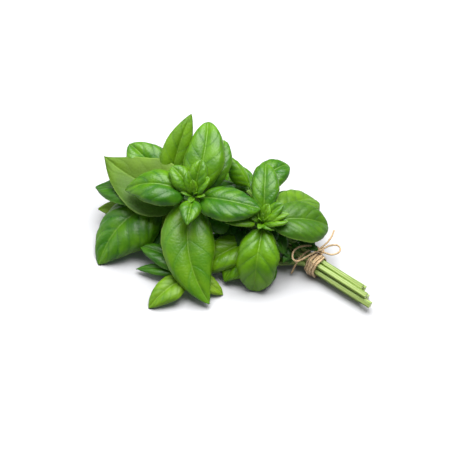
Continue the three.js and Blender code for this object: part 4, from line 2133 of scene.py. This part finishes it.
# Each leaf's tint carries painted light or shade as well as its own colour.
LEAVES: dict[str, dict[str, Leaf]] = {
    "a": {
        "back": Leaf(
            0.95, 116, 29, 59, 33, arch=7, sweep=3, point=0.55, veins=4, pucker=0.6, tint=0.3,
            petiole=1,
        ),
        "front": Leaf(
            0.95, -42, -31, 84, 43, arch=5, sweep=11, point=0.78, veins=4, pucker=0.4, tint=-0.1,
            tone=Tone.YOUNG,
        ),
        "left": Leaf(
            0.975, -151, -3, 53, 37, arch=13, veins=4, pucker=0.9, tint=0.25, cup=78, shy=0.8,
            roll=-6,
        ),
        "right": Leaf(0.975, 22, 2, 52, 38, arch=5, sweep=2, veins=5, cup=76, point=0.7, tint=-0.3),
        "small_front": Leaf(1, -61, 3, 28, 18, arch=4, veins=4, pucker=1.8, tint=0.1),
        "small_back": Leaf(1, 172, 32, 27, 20, arch=3, point=0.5, tint=0.2, pucker=2),
        "side": Leaf(0.93, 88, 25, 33, 17, arch=4, point=0.55, tint=0.5, pucker=1.8),
        "low_left": Leaf(
            0.9, -167, 7, 82, 49, petiole=8, arch=3, sweep=-8, roll=-24, fold=8, cup=6,
            point=1.05, veins=4, pucker=0.25, tint=-0.4, age=0.3, curl=0.4, shy=1,
        ),
        "low_right": Leaf(0.88, 78, -20, 40, 26, petiole=6, arch=2, tone=Tone.SHADED),
        "low_back": Leaf(0.86, 106, 28, 50, 26, petiole=6, arch=5, point=0.5),
        "shade": Leaf(0.68, -135, 10, 36, 28, petiole=5, arch=5, roll=-12, tone=Tone.SHADED),
    },
    "b": {
        "front": Leaf(
            0.97, -63, -47, 52, 37, arch=12, cup=84, point=0.45, veins=4, petiole=0.5, pucker=1.3,
            tint=0.55,
        ),
        "back": Leaf(0.97, 125, 25, 47, 23, arch=7, point=0.5),
        "right": Leaf(0.985, 49, -16, 53, 43, arch=7, point=0.45, veins=6, tint=-0.45, age=0.1),
        "right_back": Leaf(
            0.88, 84, -18, 58, 37, petiole=6, arch=8, point=0.55, veins=5, tint=0.3, age=0.12,
        ),
        "small_right": Leaf(1, 37, 27, 22, 12, arch=3, tone=Tone.YOUNG),
        "small_left": Leaf(1, -133, 12, 28, 12, arch=3, tone=Tone.YOUNG),
        "low": Leaf(0.62, 60, 5, 17, 9, arch=2, tone=Tone.SHADED),
        "low_front": Leaf(0.8, -30, -20, 19, 14, arch=3, tone=Tone.SHADED),
        "shade": Leaf(0.9, -172, 2, 34, 26, petiole=5, arch=3, tone=Tone.SHADED),
        "low_right": Leaf(0.68, 8, -25, 12, 8, arch=2, tone=Tone.SHADED),
    },
    "c": {
        "front": Leaf(
            0.94, -104, -19, 80, 53, petiole=8, arch=12, sweep=8, cup=88, point=0.7, veins=6,
            pucker=1.2, fold=20, tint=-0.15,
        ),
        "back": Leaf(
            0.98, 104, 48, 66, 26, arch=3, roll=25, sweep=-3, veins=5, pucker=0.4, tint=0.4,
            age=0.1,
        ),
        "back_left": Leaf(0.92, 180, 30, 60, 38, petiole=8, arch=6, roll=-15, point=0.55),
        "low_left": Leaf(
            0.93, -152, 3, 67, 41, petiole=10, arch=8, sweep=-5, roll=14, tint=-0.05,
            tone=Tone.SHADED,
        ),
        "low_front": Leaf(
            0.8, -154, -7, 87, 34, petiole=8, arch=8, tint=0.5, age=0.25, tone=Tone.YOUNG,
        ),
        "low_back": Leaf(0.87, 113, -11, 66, 36, petiole=8, arch=12, tone=Tone.SHADED),
        "low_back_left": Leaf(0.8, 149, -15, 72, 34, petiole=8, arch=9),
    },
    "d": {
        "left": Leaf(0.97, -152, -6, 44, 14, arch=3, tone=Tone.SHADED),
        "front": Leaf(0.99, -103, -13, 39, 24, arch=5, tint=0.2, age=0.1, tone=Tone.YOUNG),
        "right": Leaf(
            0.96, 12, -18, 28, 18, arch=3, tint=0.7, age=0.2, pucker=1.6, tone=Tone.YOUNG,
        ),
        "back": Leaf(0.94, -166, 7, 50, 24, petiole=6, arch=4, tone=Tone.SHADED),
    },
    "e": {
        "left": Leaf(0.99, -116, -14, 48, 31, arch=6, roll=-12, tint=1),
        "front": Leaf(0.95, -93, -20, 38, 30, petiole=5, arch=5, tint=0.5),
        "low": Leaf(0.8, -60, -13, 28, 18, petiole=5, arch=4, tone=Tone.SHADED),
    },
    "f": {
        "ridge": Leaf(0.99, 170, 35, 34, 17, arch=5, fold=-35, cup=25, tint=0.3, pucker=1.6),
        "back": Leaf(0.97, 76, 14, 38, 29, arch=7, point=0.5, pucker=1.8, tint=-0.1),
        "left": Leaf(0.93, 152, -15, 46, 25, petiole=6, arch=5),
        "low": Leaf(0.88, 122, -20, 34, 26, petiole=5, arch=7, tone=Tone.SHADED),
        "right": Leaf(0.83, 18, 0, 34, 20, petiole=5, arch=5, tone=Tone.SHADED),
    },
    "g": {
        "left": Leaf(1, 168, -11, 48, 25, arch=8),
        "right": Leaf(0.9, 38, -10, 34, 24, arch=7),
        "back": Leaf(0.8, 106, -7, 27, 20, petiole=5, arch=5),
        "low": Leaf(0.62, 60, 10, 20, 10, arch=3, tone=Tone.SHADED),
    },
}
FILLERS: dict[str, tuple[tuple[float, ...], ...]] = {
    "a": (
        *((0.62, -75, -20, 20, 16), (0.7, -60, -30, 22, 18), (0.4, -80, -5, 12, 7)),
        *((0.45, -20, -10, 14, 8), (0.56, -80, -12, 15, 14)),
    ),
    "b": (
        *((0.55, 20, 5, 13, 7), (0.62, -70, -25, 14, 8)),
        *((0.84, -90, -40, 16, 12), (0.9, -30, -30, 14, 12)),
    ),
    "c": (
        *((0.82, -105, -18, 46, 28), (0.88, -125, -15, 36, 24)),
        *((0.58, 60, 10, 24, 18), (0.69, -62, -20, 18, 16)),
    ),
    "e": ((0.97, 180, 0, 26, 18), (0.93, 150, -5, 20, 16)),
    "f": ((0.55, 10, 0, 18, 14), (0.65, 40, 10, 26, 12), (0.6, 38, 10, 16, 12)),
    "g": ((0.5, -10, 10, 12, 8),),
}


def main() -> None:
    """Build the studio, the twine and the sprigs in order, and report each piece."""
    logging.basicConfig(level=logging.INFO, format="%(message)s")
    palette = Palette()
    studio = Studio()
    studio.build_camera()
    tie = TwineTie()
    for piece in [*tie.build_bow(palette), tie.build_knot(palette), tie.build_turns(palette)]:
        report(piece)
    studio.build_floor(palette)
    studio.build_lights()
    for name, stem in STEMS.items():
        sprig = Sprig(name, stem, LEAVES[name], FILLERS.get(name, ()), BUDS.get(name))
        for piece in sprig.build(palette):
            report(piece)
    boxes = {"cad": cad_box, "visual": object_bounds()}
    plain = {name: [list(map(float, corner)) for corner in box] for name, box in boxes.items()}


if __name__ == "__main__":
    main()
